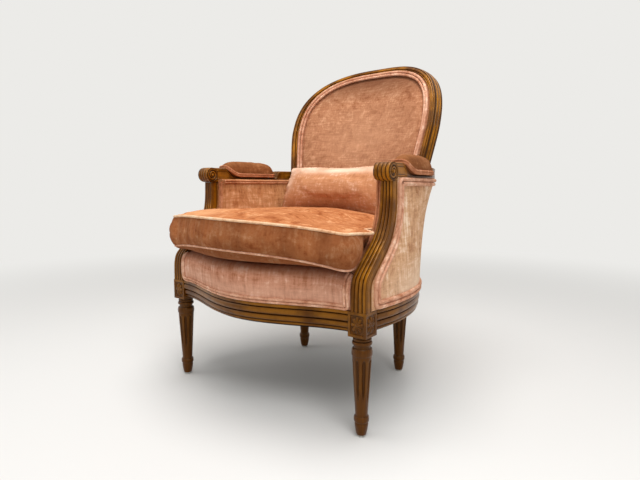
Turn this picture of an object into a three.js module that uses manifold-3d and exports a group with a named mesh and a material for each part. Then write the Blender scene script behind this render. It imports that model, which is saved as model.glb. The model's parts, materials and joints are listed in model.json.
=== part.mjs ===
// Bergere armchair: a moulded frame on turned and fluted legs, closed upholstered sides,
// an arched back, a sprung seat, a loose seat cushion and a loose lumbar pillow.
// Lengths are millimetres. X runs to the right seen from the front, Y to the back, Z up.
import * as THREE from "three";
import { mergeVertices } from "three/addons/utils/BufferGeometryUtils.js";
import Module from "manifold-3d";

const wasm = await Module();
wasm.setup();

// Clearances
const seatGap = 0.3; // between pieces that touch
const edgeGap = 0.6; // round a padded panel in its frame
const softGap = 3; // round the loose cushion
const overrun = 4; // how far a cutter or a joined piece runs past a face
const weldGap = 0.0001; // points closer than this are one

// Plan of the seat frame, on the outer top edge of the rails
const seatHalfWidth = 345;
const widestY = 100;
const seatBackReach = 378; // from the widest place to the back of the rail
const blockFlare = 9; // how far the side rail swells from the leg block
const frontBow = 76;
const frontBowReach = 300;
const horseshoeShare = 2.19; // exponent of the rounded back of the plan
const bowShare = 0.9;
const flareShare = 1.8;
const tangentShare = 1e-4; // step along the plan that gives its direction

// Legs
const rearLegX = 187.3;
const rearLegInset = 20.45; // centre of the rear leg in front of the plan's edge
const blockSize = 47;
const blockDrop = 9.6; // front block below the rail
const blockStep = 1; // front block's top below the rail's
const blockRecess = 1.8;
const blockBorder = 6.5;
const glideHeight = 5;
const glideRadius = 10;
const fluteDepth = 2.6;
const fluteCount = 8;

// Rails
const railTop = 292;
const railHeight = 47.4;
const railThickness = 46;
const railMould = 8;
const rearBlockSwell = 7; // rear block deeper than the rail
const rearBlockLength = 54;

// Back frame
const backLean = THREE.MathUtils.degToRad(17.64);
const armHeight = 308; // from the rail to where the sweep of the stiles ends and the lean is straight
const stileForward = 11.4; // centre of the stile's foot in front of the leg's
const stileInward = 4.8; // and nearer the middle
const backHollow = 74.8; // how far the sides of the back come forward
const backHollowSpan = 250;
const archHalfWidth = 244; // inner edge of the frame
const archSpring = 159.4; // along the back, above arm level
const archRise = 202.1;
const archShare = 2.6;
const stileEase = 40;
const frameWidth = 19; // across its face, which turns with the hollow
const crestTopShare = 0.98; // width of the frame at the top of the arch
const frameDepth = 34;

// Arms
const armHalfWidth = 18;
const armLean = 6.7; // outer edge of the arm nearer the middle than that of the block
const armStileOffset = 3.6; // middle of the arm's end outside the outer back corner of the stile
const armStileGap = 1; // and its end in front of that corner
const armRearSwell = 2; // half width gained at the stile
const armPlanShare = 3; // exponent of the arm's curve in plan
const scrollY = 96;
const scrollRadius = 22;
const reedDepth = 2.6;
const eyeRadius = 7;
const eyeHeight = 1.4;
const rollSides = 16;
const supportHalfWidth = 21.2; // at the foot
const supportTopHalfWidth = 16.5;
const supportStep = 0.5; // foot of the support behind the block's face
const supportVisible = 24; // depth of the show wood
const supportTongue = 16; // covered depth behind it
const tongueInset = 8;
const tongueTaper = 6; // half width that the covered tongue of the arm loses at the stile
const armSeatDrop = 6.3; // from the scroll's centre to the top of the arm under the pad
const armLedgeDrop = 12.4; // to the underside of the arm above the side covers
const armTongueDrop = 34;
const armRearRise = 16.7;
const padFrontGap = 58; // from the scroll's centre to the pad
const padRearGap = 84.3; // from the pad to the end of the arm
const padHalfWidth = 27;
const padHeight = 51;

// Soft parts of the seat
const borderDrop = 2; // top of the border below the deck's
const borderBulge = 4;
const borderBase = 36;
const borderShoulder = 24; // depth over which the border rounds over
const borderEndDrop = 16;
const borderEndShare = 10; // exponent of the drop at its ends
const deckThickness = 49.7;
const sidePadThickness = 28;
const sideSetBack = 3; // padded side behind the inner face of the rail
const outerCoverThickness = 6.5;
const outerSetBack = 1.8; // outer cover behind the edge of the rail
const outerLeanShare = 1.7; // exponent of its lean from the rail to the arm
const sidePanelRise = 53; // foot of the padded side above the rail
const backPadCrown = 26;
const backPadThickness = 12;
const backPadRise = 58;
const outsideBackDepth = 27;
const outsideBackThickness = 8;

// Seat cushion
const cushionUnderDepth = 18.7;
const cushionBoxing = 71;
const cushionCrown = 29;
const cushionFrontOverhang = 22;
const earInset = 14; // side of the ear inside the outer edge of the arm
const earClear = 15.3; // in front of the arm support at the lower edge
const earCorner = 10;
const neckClear = 4;
const boxingDraw = 3;
const plateauInset = 36; // rounded plan that the crown runs into
const plateauShare = 2.6;
const crownEaseShare = 6;

// Lumbar pillow
const pillowSideGap = 13.6; // from the edge of the back's opening to the pillow
const pillowHalfHeight = 78;
const pillowHalfThickness = 52;
const pillowX = -12;
const pillowRise = 44; // middle of the pillow above the top of the seat cushion
const pillowClear = 10;
const pillowBendShare = 0.5; // how much of the back's hollow it takes
const pillowCornerShare = 5;
const pillowEdgeShare = 0.7;
const pillowSagShare = 0.9;

// Suspension under the seat
const webWidth = 50;
const webThickness = 1.2;
const webFrontY = 60; // middle of the first strip across
const webRearGap = 118.5; // from the last strip across to the rear leg's centre
const webSideGap = 215; // from the last strip lengthwise to the widest edge of the seat
const springRadius = 42;
const springWaist = 27;
const springWire = 4;
const springCurls = 4;
const curlSteps = 7;
const hessianRise = 46;
const hessianThickness = 1.5;
const hessianInset = 30;
const hessianFlange = 6;
const dustCoverInset = 15;
const dustCoverThickness = 1.4;
const braceLeg = 58;
const braceHeight = 30;
const braceDrop = 6;
const stayRailHeight = 26;
const stayRailThickness = 16;
const crossRailHeight = 34;
const crossRailThickness = 14;
const backSlack = 6; // play of flat facets against the hollow of the back

// Outlines, as shares of the sizes they follow
// Turned leg: height, radius, depth of flute
const turnedShares = [
  [0.148, 0.6, 0],
  [0.16, 0.7, 0],
  [0.182, 0.745, 0],
  [0.204, 0.71, 0],
  [0.216, 0.61, 0],
  [0.27, 0.62, 0],
  [0.332, 0.64, 1],
  [0.75, 0.92, 1],
  [0.796, 0.945, 0],
  [0.809, 1.0, 0],
  [0.845, 1.025, 0],
  [0.881, 0.99, 0],
  [0.892, 0.775, 0],
  [0.924, 0.93, 0],
  [0.94, 0.98, 0],
  [0.958, 0.945, 0],
  [0.97, 0.87, 0],
];
const footShare = 0.44;
const tenonShare = 0.55;
const fluteEdgeShare = 0.3;
// Seat rail: depth of the moulding, height from the top
const railShares = [
  [0, 0],
  [-0.1, 0.12],
  [0.4, 0.2],
  [0, 0.28],
  [-0.12, 0.44],
  [0.45, 0.57],
  [0.2, 0.65],
  [0.25, 0.8],
  [0.75, 0.88],
  [0.62, 0.95],
  [1, 1],
];
// Back frame: width from the inner edge, depth from the front
const frameShares = [
  [0, 0.2],
  [0.05, 0.07],
  [0.16, 0.04],
  [0.26, 0.12],
  [0.34, 0.02],
  [0.5, 0],
  [0.66, 0.03],
  [0.75, 0.13],
  [0.84, 0.11],
  [0.94, 0.22],
  [1, 0.44],
  [1, 0.78],
  [0.9, 0.97],
  [0.1, 1],
  [0, 0.92],
];
// Front face of support and scroll: half width, depth of the groove
const reedShares = [
  [1, 1],
  [0.92, 0.1],
  [0.6, 0],
  [0.5, 1],
  [0.4, 0],
  [0.1, 0],
  [0, 1],
];
// Front line of the arm support: height, distance back
const supportShares = [
  [0, 0],
  [0.11, 0],
  [0.19, 0.012],
  [0.264, 0.066],
  [0.33, 0.21],
  [0.4, 0.392],
  [0.472, 0.582],
  [0.545, 0.75],
  [0.62, 0.86],
  [0.7, 0.94],
  [0.778, 0.978],
  [0.87, 0.995],
  [1, 1],
];
// Stations along the arm, from scroll to stile
const armYShares = [
  0.11, 0.15, 0.175, 0.207, 0.24, 0.272, 0.305, 0.4, 0.53, 0.6, 0.68, 0.703, 0.725, 0.747, 0.82,
  0.9, 1,
];
// Arm pad section: half width, height
const padShares = [
  [0.8, 0],
  [1, 0.24],
  [0.94, 0.6],
  [0.66, 0.88],
  [0, 1],
];
// Arm pad: fullness of the stations from either end
const padEndShares = [0.3, 0.72, 0.93];
// Places of the side covers from the support to the stile
const insidePlaceShares = [0, 0.24, 0.48, 0.7, 0.86];
const outsidePlaceShares = [0, 0.22, 0.44, 0.64, 0.8, 0.92];
// Front border: depth behind its line in bulges, height
const borderShares = [
  [0.5, 0],
  [-0.5, 0.2],
  [-1, 0.5],
  [-0.25, 0.8],
  [2, 0.95],
];
// Seat deck: draw towards the middle, height
const deckShares = [
  [0.86, 0],
  [1, 0.33],
  [1, 0.8],
  [0.97, 0.975],
  [0.8, 1],
];
// Padded panel: draw towards the middle, share of the crown
const panelCrownShares = [
  [1, 0],
  [0.955, 0.42],
  [0.86, 0.74],
  [0.66, 0.93],
  [0.34, 1],
  [0.08, 1],
];
const flatPanelShares = [
  [1, 0],
  [0.66, 0],
  [0.36, 0],
  [0.1, 0],
];
// Seat cushion: draw towards the middle, height between the edges and crowns
const cushionUnderShares = [
  [0.4, 1],
  [0.86, 0.97],
  [0.96, 0.6],
];
const cushionCrownShares = [
  [0.975, 0.34],
  [0.9, 0.64],
  [0.74, 0.86],
  [0.48, 0.97],
  [0.2, 1],
];
// Lumbar pillow: places across it, and its section as height and thickness
const pillowRowShares = [-1, -0.93, -0.75, -0.4, 0, 0.4, 0.75, 0.93, 1];
const pillowSectionShares = [
  [-1, 0],
  [-0.85, 0.42],
  [-0.5, 0.86],
  [0, 1],
  [0.5, 0.86],
  [0.85, 0.42],
  [1, 0],
  [0.85, -0.42],
  [0.5, -0.86],
  [0, -1],
  [-0.5, -0.86],
  [-0.85, -0.42],
];

const left = -1;
const right = 1;
const sides = [
  ["left", left],
  ["right", right],
];
const quarterTurn = Math.PI / 2;

// Materials
const finish = (color, roughness, metalness = 0) =>
  new THREE.MeshStandardMaterial({ color, roughness, metalness });
const wood = finish(0x8a5a22, 0.42);
const plainWood = finish(0xb58a58, 0.7);
const velvet = finish(0xc98a6c, 0.85);
const jute = finish(0xa98d62, 0.95);
const blackCloth = finish(0x2a2724, 0.95);
const springSteel = finish(0x8d8f92, 0.4, 0.8);
const greyPlastic = finish(0x9a9a98, 0.5);

// Levels from the floor up, and places that follow from the sizes above
const legRadius = blockSize / 2;
const frontLegX = seatHalfWidth - blockFlare - blockSize / 2;
const armOuter = frontLegX + blockSize / 2;
const armTopOuter = armOuter - armLean;
const blockBottom = railTop - railHeight - blockDrop;
const blockTop = railTop - blockStep;
const rearBlockDepth = railThickness + rearBlockSwell;
const armLevel = railTop + armHeight;
const scrollZ = armLevel;
const armSeatZ = scrollZ - armSeatDrop;
const armLedgeZ = scrollZ - armLedgeDrop;
const armTongueZ = scrollZ - armTongueDrop;
const armRearZ = scrollZ + armRearRise;
const padFrontY = scrollY + padFrontGap;
const supportFrontY = supportStep - blockSize / 2;
const borderBackY = supportFrontY + supportVisible;
const hessianTop = railTop + hessianRise;
const deckBottom = hessianTop + seatGap;
const deckTop = deckBottom + deckThickness;
const borderTop = deckTop - borderDrop;
const sidePanelBottom = railTop + sidePanelRise;
const sidePanelTop = armLedgeZ - edgeGap;
const backPadBottom = railTop + backPadRise;
const cushionBottom = deckTop + seatGap;
const cushionLowerEdge = cushionBottom + cushionUnderDepth;
const cushionUpperEdge = cushionLowerEdge + cushionBoxing;
const cushionTop = cushionUpperEdge + cushionCrown;
const earHalfWidth = armOuter - earInset;
const neckHalfWidth = armOuter - 2 * supportHalfWidth - neckClear;
const pillowZ = cushionTop + pillowRise;

// A closed body from rings of points, all with as many points, with flat or bent end caps.
function loft(rings) {
  const count = rings[0].length;
  const points = rings.flat();
  const faces = [];
  for (let i = 0; i + 1 < rings.length; i++) {
    for (let j = 0; j < count; j++) {
      const a = i * count + j;
      const b = i * count + ((j + 1) % count);
      faces.push(a, b, b + count, a, b + count, a + count);
    }
  }
  const last = (rings.length - 1) * count;
  for (const [p, q, r] of capFaces(rings[0])) {
    faces.push(r, q, p);
  }
  for (const [p, q, r] of capFaces(rings[rings.length - 1])) {
    faces.push(last + p, last + q, last + r);
  }
  return facedOut(points, faces);
}

// Triangles that close a ring, found in the plane that it is flattest in and wound as the ring is.
function capFaces(ring) {
  const normal = new THREE.Vector3();
  ring.forEach((p, i) => normal.add(p.clone().cross(ring[(i + 1) % ring.length])));
  normal.normalize();
  const upright = Math.abs(normal.z) < Math.SQRT1_2;
  const across = upright ? new THREE.Vector3(0, 0, 1) : new THREE.Vector3(1, 0, 0);
  const u = across.cross(normal).normalize();
  const v = normal.clone().cross(u);
  const outline = ring.map((p) => new THREE.Vector2(p.dot(u), p.dot(v)));
  return THREE.ShapeUtils.triangulateShape(outline, []);
}

function facedOut(points, faces) {
  let volume = 0;
  for (let i = 0; i < faces.length; i += 3) {
    const [a, b, c] = [points[faces[i]], points[faces[i + 1]], points[faces[i + 2]]];
    volume += a.dot(b.clone().cross(c));
  }
  if (volume < 0) faces.reverse();
  const geometry = new THREE.BufferGeometry().setFromPoints(points);
  geometry.setIndex(faces);
  return mergeVertices(geometry, weldGap);
}

function solidOf(geometry) {
  const bare = geometry.clone();
  bare.deleteAttribute("normal");
  bare.deleteAttribute("uv");
  const merged = mergeVertices(bare, weldGap);
  const vertProperties = new Float32Array(merged.attributes.position.array);
  const triVerts = new Uint32Array(merged.index.array);
  return new wasm.Manifold(new wasm.Mesh({ numProp: 3, vertProperties, triVerts }));
}

function geometryOf(solid) {
  const { vertProperties, triVerts } = solid.getMesh();
  const geometry = new THREE.BufferGeometry();
  geometry.setAttribute("position", new THREE.BufferAttribute(vertProperties, 3));
  geometry.setIndex(new THREE.BufferAttribute(triVerts, 1));
  return geometry;
}

const joined = (first, ...others) =>
  geometryOf(others.reduce((s, g) => s.add(solidOf(g)), solidOf(first)));
const cut = (first, ...others) =>
  geometryOf(others.reduce((s, g) => s.subtract(solidOf(g)), solidOf(first)));

function box(lowX, highX, lowY, highY, lowZ, highZ) {
  const geometry = new THREE.BoxGeometry(highX - lowX, highY - lowY, highZ - lowZ);
  return geometry.translate((lowX + highX) / 2, (lowY + highY) / 2, (lowZ + highZ) / 2);
}

const at = (x, y, z) => new THREE.Vector3(x, y, z);
const lerp = THREE.MathUtils.lerp;
const span = (count) => Array.from({ length: count + 1 }, (_, i) => i / count);
const clampShare = (value) => THREE.MathUtils.clamp(value, 0, 1);

// A flat plate with the given plan outline.
const plate = (outline, lowZ, highZ) =>
  loft([lowZ, highZ].map((z) => outline.map(([x, y]) => at(x, y, z))));

// Front face line of the front rail: a serpentine bow that dies into the leg blocks.
function frontLine(x) {
  const swell = Math.cos((quarterTurn * x) / frontBowReach) ** 2;
  return blockRecess - blockSize / 2 - frontBow * Math.pow(swell, bowShare);
}

// Outer plan of side and back rails on the right: s runs from -1 at the leg block,
// by 0 at the widest place, to 1 on the centre line at the back.
function horseshoe(s, inset = 0) {
  const point = (t) => {
    if (t < 0) {
      const y = widestY + t * (widestY - blockSize / 2);
      return [seatHalfWidth - blockFlare * Math.pow(-t, flareShare), y];
    }
    const turn = t * quarterTurn;
    const along = (value) => Math.pow(Math.max(value, 0), 2 / horseshoeShare);
    return [seatHalfWidth * along(Math.cos(turn)), widestY + seatBackReach * along(Math.sin(turn))];
  };
  const ahead = Math.min(s + tangentShare, 1);
  const [x1, y1] = point(ahead - 2 * tangentShare);
  const [x2, y2] = point(ahead);
  const length = Math.hypot(x2 - x1, y2 - y1);
  let normal = [(y2 - y1) / length, -(x2 - x1) / length];
  if (s >= 1) normal = [0, 1];
  if (s < 0) {
    const turn = normal[1] * clampShare((s + 1) * 2);
    normal = [Math.sqrt(1 - turn * turn), turn];
  }
  const [x, y] = point(s);
  return [x - normal[0] * inset, y - normal[1] * inset];
}

// The plan's edge at the back, as y for an x.
const planY = (x) =>
  widestY + seatBackReach * Math.pow(1 - Math.pow(x / seatHalfWidth, horseshoeShare), 1 / horseshoeShare);
const rearLegY = planY(rearLegX) - rearLegInset;

// Where the rear leg block sits on that plan, and how far a length reaches along it.
const rearTurn = Math.acos(Math.pow(rearLegX / seatHalfWidth, horseshoeShare / 2)) / quarterTurn;
const speedShare = 0.01;
const planSpeed =
  Math.hypot(
    horseshoe(rearTurn + speedShare)[0] - horseshoe(rearTurn - speedShare)[0],
    horseshoe(rearTurn + speedShare)[1] - horseshoe(rearTurn - speedShare)[1],
  ) /
  (2 * speedShare);
const blockStart = rearTurn - rearBlockLength / 2 / planSpeed;
const blockEnd = rearTurn + rearBlockLength / 2 / planSpeed;
const planGap = (seatGap * 2) / planSpeed;

// Outer plan of the seat at a height over the side, as x for a y.
function railX(y) {
  if (y < widestY) return horseshoe((y - widestY) / (widestY - blockSize / 2))[0];
  const reach = clampShare((y - widestY) / seatBackReach);
  return seatHalfWidth * Math.pow(1 - Math.pow(reach, horseshoeShare), 1 / horseshoeShare);
}

// The back: x across, w up along it from arm level, v into it from its hollow front face.
const sweepRadius = armHeight / Math.sin(backLean);
const stileFoot = -sweepRadius * backLean;
const backSweep = sweepRadius * (1 - Math.cos(backLean));
const hollow = (x) => backHollow * (x / backHollowSpan) ** 2;
const backFront = rearLegY - frameDepth / 2 - stileForward + backSweep + hollow(rearLegX);
function backPoint(x, w, v) {
  const slope = (2 * backHollow * x) / backHollowSpan ** 2;
  const depth = v / Math.hypot(1, slope);
  const lean = w < 0 ? backLean + w / sweepRadius : backLean;
  let y = backFront;
  let z = armLevel;
  if (w < 0) {
    y += sweepRadius * (Math.cos(backLean) - Math.cos(lean));
    z += sweepRadius * (Math.sin(lean) - Math.sin(backLean));
  } else {
    y += w * Math.sin(lean);
    z += w * Math.cos(lean);
  }
  y += depth * Math.cos(lean) - hollow(x);
  return at(x + depth * slope, y, z - depth * Math.sin(lean));
}
// Distance along the back for a height below arm level.
const backAlong = (z) =>
  sweepRadius * (Math.asin(Math.sin(backLean) - (armLevel - z) / sweepRadius) - backLean);

// Inner edge of the stile, which closes in from the arch to the leg, and of the arch.
const stileFall = (w) => Math.max(archSpring - w, 0) ** 2 / (Math.max(archSpring - w, 0) + stileEase);
const stileFootX = rearLegX - frameWidth / 2 - stileInward;
const stileShare = (w) => stileFall(w) / stileFall(stileFoot);
const stileX = (w) => archHalfWidth - (archHalfWidth - stileFootX) * stileShare(w);

// Arm plan: outer edge, half width and centre line for a y.
const stileCorner = backPoint(stileX(0) + frameWidth, 0, frameDepth);
const armRearX = stileCorner.x + armStileOffset;
const armRearY = stileCorner.y - armStileGap;
const padRearY = armRearY - padRearGap;
const armSpread = armTopOuter - armHalfWidth - armRearSwell - armRearX;
const armReach = (y) => (y - scrollY) / (armRearY - scrollY);
const armEdge = (y) => armTopOuter - armSpread * Math.max(armReach(y), 0) ** armPlanShare;
const armHalf = (y) => armHalfWidth + armRearSwell * clampShare(armReach(y));
const armCentre = (y) => armEdge(y) - armHalf(y);

const archSteps = 20;
function archPoint(t, offset) {
  const c = Math.cos(Math.PI * t);
  const s = Math.sin(Math.PI * t);
  const xShare = Math.sign(c) * Math.pow(Math.abs(c), 2 / archShare);
  const wShare = Math.pow(Math.max(s, 0), 2 / archShare);
  const nx = (Math.sign(c) * Math.pow(Math.abs(xShare), archShare - 1)) / archHalfWidth;
  const nw = Math.pow(wShare, archShare - 1) / archRise;
  const length = Math.hypot(nx, nw);
  return [
    archHalfWidth * xShare + (offset * nx) / length,
    archSpring + archRise * wShare + (offset * nw) / length,
  ];
}
const stileHeights = (low, steps) => span(steps).map((t) => lerp(low, archSpring, t));

// The opening of the back frame from its foot, over the arch and down again, drawn in by a gap.
function backOpening(low, inset, stileSteps, footSteps) {
  const heights = stileHeights(low, stileSteps).slice(0, -1);
  const rise = heights.map((w) => [stileX(w) - inset, w]);
  const arch = span(archSteps).map((t) => archPoint(t, -inset));
  const foot = span(footSteps)
    .slice(1, -1)
    .map((t) => [lerp(-1, 1, t) * rise[0][0], low]);
  return [...rise, ...arch, ...rise.map(([x, w]) => [-x, w]).reverse(), ...foot];
}

// Turned leg: a body of revolution whose long tapering stretch is fluted.
function turnedLeg(x, y, top) {
  const period = (2 * Math.PI) / fluteCount;
  const ring = (z, radius, flute) =>
    span(fluteCount)
      .slice(1)
      .flatMap((_, i) =>
        [-fluteEdgeShare, 0, fluteEdgeShare].map((part) => {
          const r = part === 0 ? radius - fluteDepth * flute : radius;
          const turn = (i + part) * period;
          return at(x + r * Math.cos(turn), y + r * Math.sin(turn), z);
        }),
      );
  const foot = ring(glideHeight + seatGap, legRadius * footShare, 0);
  const rows = turnedShares.map(([h, r, f]) => ring(blockBottom * h, legRadius * r, f));
  const shoulder = ring(top - seatGap, legRadius * turnedShares[turnedShares.length - 1][1], 0);
  const tenon = [top - seatGap, top + overrun].map((z) => ring(z, legRadius * tenonShare, 0));
  return loft([foot, ...rows, shoulder, ...tenon]);
}

function glide(side, x, y) {
  const edge = glideHeight / 4;
  const profile = [
    [0, 0],
    [glideRadius - edge, 0],
    [glideRadius, edge],
    [glideRadius, glideHeight],
    [0, glideHeight],
  ].map(([r, z]) => new THREE.Vector2(r, z));
  return new THREE.LatheGeometry(profile, 12).rotateX(quarterTurn).translate(side * x, y, 0);
}

// Front leg: turned leg under a square block with a sunk panel on its two outer faces.
function frontLeg(side) {
  const x = side * frontLegX;
  const half = blockSize / 2;
  const panel = half - blockBorder;
  const middle = (blockBottom + blockTop) / 2;
  const tall = (blockTop - blockBottom) / 2 - blockBorder;
  const block = box(x - half, x + half, -half, half, blockBottom, blockTop);
  const low = middle - tall;
  const high = middle + tall;
  const frontPanel = box(x - panel, x + panel, -half - overrun, blockRecess - half, low, high);
  const outerFace = side * (half - blockRecess) + x;
  const beyond = outerFace + side * (blockRecess + overrun);
  const ends = [Math.min(outerFace, beyond), Math.max(outerFace, beyond)];
  const sidePanel = box(...ends, -panel, panel, low, high);
  return joined(cut(block, frontPanel, sidePanel), turnedLeg(x, 0, blockBottom + seatGap));
}

// Moulded rail section, from its outer face inwards.
function railRing(place, thickness, top = railTop) {
  const outer = railShares.map(([d, h]) => [railMould * d, railTop - railHeight * h]);
  outer[0][1] = top;
  const inner = [
    [thickness, railTop - railHeight],
    [thickness, top],
  ];
  return [...outer, ...inner].map(([d, z]) => {
    const [x, y] = place(d);
    return at(x, y, z);
  });
}

function frontRail() {
  const end = frontLegX - blockSize / 2 - seatGap;
  const rings = span(18).map((t) => {
    const x = lerp(-end, end, t);
    return railRing((d) => [x, frontLine(x) + d], railThickness);
  });
  return loft(rings);
}

function sideRail(side) {
  const start = -1 + seatGap / (widestY - blockSize / 2);
  const rings = span(14).map((t) => {
    const s = lerp(start, blockStart - planGap, t);
    return railRing((d) => {
      const [x, y] = horseshoe(s, d);
      return [side * x, y];
    }, railThickness);
  });
  return loft(rings);
}

function backRail() {
  const rings = span(12).map((t) => {
    const u = lerp(-1, 1, t);
    const s = 1 - Math.abs(u) * (1 - blockEnd - planGap);
    return railRing((d) => {
      const [x, y] = horseshoe(s, d);
      return [(u < 0 ? -1 : 1) * x, y];
    }, railThickness);
  });
  return loft(rings);
}

function stileRing(side, w) {
  const outward = (u) => side * (stileX(w) + u * frameWidth);
  return frameShares.map(([u, v]) => backPoint(outward(u), w, v * frameDepth));
}

function stile(side, clearance = 0) {
  const low = stileFoot + seatGap;
  const heights = span(11).map((t) => lerp(low, archSpring - seatGap, t));
  if (!clearance) return loft(heights.map((w) => stileRing(side, w)));
  const edge = [
    [-clearance, -clearance],
    [frameWidth + clearance, -clearance],
    [frameWidth + clearance, frameDepth + clearance],
    [-clearance, frameDepth + clearance],
  ];
  return loft(heights.map((w) => edge.map(([u, v]) => backPoint(side * (stileX(w) + u), w, v))));
}

// Rear leg: turned leg, the block that the rails meet, and the swept stile, in one piece.
function rearLeg(side) {
  const rings = span(3).map((t) => {
    const s = lerp(blockStart, blockEnd, t);
    return railRing(
      (d) => {
        const [x, y] = horseshoe(s, d);
        return [side * x, y];
      },
      rearBlockDepth,
      railTop + seatGap * 2,
    );
  });
  const turned = turnedLeg(side * rearLegX, rearLegY, railTop - railHeight);
  return joined(loft(rings), turned, stile(side));
}

// Crest rail: the moulded arch between the stiles.
function crestRail() {
  const rings = span(archSteps).map((t) => {
    const width = frameWidth * lerp(1, crestTopShare, Math.sin(Math.PI * t));
    return frameShares.map(([u, v]) => {
      const [x, w] = archPoint(t, u * width);
      return backPoint(x, w, v * frameDepth);
    });
  });
  return loft(rings);
}

// Front line of the arm support as points of y and z, moved back by an offset square to the line.
const supportFoot = blockTop + seatGap;
const supportTop = scrollZ - scrollRadius - seatGap;
const supportReach = scrollY - supportFrontY;
const supportLine = supportShares.map(([h, d]) => [
  supportFrontY + supportReach * d,
  lerp(supportFoot, supportTop, h),
]);
function supportPoint(i, offset) {
  const [y1, z1] = supportLine[Math.max(i - 1, 0)];
  const [y2, z2] = supportLine[Math.min(i + 1, supportLine.length - 1)];
  const level = i === 0 || i === supportLine.length - 1;
  const length = level ? 1 : Math.hypot(y2 - y1, z2 - z1);
  const back = level ? 1 : (z2 - z1) / length;
  const down = level ? 0 : (y2 - y1) / length;
  return [supportLine[i][0] + offset * back, supportLine[i][1] - offset * down];
}
// The y of that line at a height.
function supportY(z, offset) {
  const line = supportLine.map((_, i) => supportPoint(i, offset));
  const next = line.findIndex((p) => p[1] > z);
  if (next === 0) return line[0][0];
  if (next < 0) return line[line.length - 1][0];
  const [y1, z1] = line[next - 1];
  const [y2, z2] = line[next];
  return lerp(y1, y2, (z - z1) / (z2 - z1));
}

// The support narrows and leans in towards the arm: its outer edge and half width at a height.
const supportRise = (z) => (z - supportFoot) / (supportTop - supportFoot);
const supportOuterX = (z) => lerp(armOuter, armTopOuter, supportRise(z));
const supportHalf = (z) => lerp(supportHalfWidth, supportTopHalfWidth, supportRise(z));

function armSupport(side) {
  const face = reedShares.map(([x, d]) => [x, 0, reedDepth * d]);
  const mirrored = face.slice(0, -1).map(([x, , d]) => [-x, 0, d]);
  const deep = supportVisible + supportTongue;
  const back = [
    [-1, 0, supportVisible],
    [-1, 1, supportVisible],
    [-1, 1, deep],
    [1, -1, deep],
    [1, -1, supportVisible],
    [1, 0, supportVisible],
  ];
  const section = [...face, ...mirrored.reverse(), ...back];
  const rings = supportLine.map((_, i) =>
    section.map(([share, drawn, d]) => {
      const [y, z] = supportPoint(i, d);
      const half = supportHalf(z);
      const centre = supportOuterX(z) - half;
      return at(side * (centre + half * share + tongueInset * drawn), y, z);
    }),
  );
  return loft(rings);
}

// Top of the arm: high behind the scroll, sunk under the pad, high again before the stile.
const armDipShare = 0.13;
function armTop(y) {
  const along = (y - scrollY) / (armRearY - scrollY);
  const ease = (t) => THREE.MathUtils.smoothstep(t, 0, 1);
  const padStart = (padFrontY - scrollY) / (armRearY - scrollY);
  const padEnd = (padRearY - scrollY) / (armRearY - scrollY);
  const down = ease((along - padStart) / armDipShare);
  const up = ease((along - (padEnd - armDipShare / 2)) / (armDipShare / 2));
  const high = lerp(scrollZ + scrollRadius, armRearZ, up);
  return lerp(high, armSeatZ, down * (1 - up));
}
const supportBackY = scrollY + supportVisible;
const armYs = [
  scrollY,
  supportBackY - seatGap,
  supportBackY,
  ...armYShares.map((t) => lerp(scrollY, armRearY, t)),
];

// Arm: scroll at the front, full width body, and a tongue below that the covers hide.
function arm(side) {
  const centre = side * (armTopOuter - armHalfWidth);
  const rib = ([x, d]) => new THREE.Vector2(scrollRadius - reedDepth * d, armHalfWidth * x);
  const half = reedShares.map(rib);
  const low = half.map((p) => new THREE.Vector2(p.x, -p.y));
  const eye = [
    new THREE.Vector2(eyeRadius, armHalfWidth),
    new THREE.Vector2(eyeRadius - eyeHeight, armHalfWidth + eyeHeight),
    new THREE.Vector2(0, armHalfWidth + eyeHeight),
  ];
  const eyeLow = eye.map((p) => new THREE.Vector2(p.x, -p.y));
  const profile = [...eyeLow.reverse(), ...low, ...half.slice(0, -1).reverse(), ...eye];
  const roll = new THREE.LatheGeometry(profile, rollSides).rotateZ(-quarterTurn);
  const scroll = roll.translate(centre, scrollY, scrollZ);
  const bodyRings = armYs.map((y) => {
    const top = armTop(y);
    const bottom = y < supportBackY ? scrollZ - scrollRadius : armLedgeZ;
    const shoulder = Math.min(scrollRadius / 4, (top - bottom) / 2);
    const x = side * armCentre(y);
    const h = armHalf(y);
    return [
      at(x - h, y, bottom),
      at(x - h, y, top - shoulder),
      at(x - h + shoulder, y, top - shoulder / 4),
      at(x, y, top),
      at(x + h - shoulder, y, top - shoulder / 4),
      at(x + h, y, top - shoulder),
      at(x + h, y, bottom),
    ];
  });
  const supportBack = scrollY + supportVisible + supportTongue;
  const tongueYs = [scrollY + supportVisible / 2, supportBack, supportBack + 2 * seatGap];
  const further = armYs.filter((y) => y > supportBack + overrun && y < rearLegY - frameDepth);
  const tongueRings = [...tongueYs, ...further].map((y, i) => {
    const bottom = i < 2 ? scrollZ - scrollRadius : armTongueZ;
    const x = side * armCentre(y);
    const h = armHalf(y) - tongueInset - tongueTaper * clampShare(armReach(y));
    const top = (armLedgeZ + armSeatZ) / 2;
    return [at(x - h, y, bottom), at(x + h, y, bottom), at(x + h, y, top), at(x - h, y, top)];
  });
  const whole = joined(scroll, loft(bodyRings), loft(tongueRings));
  return cut(whole, stile(side, seatGap));
}

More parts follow.
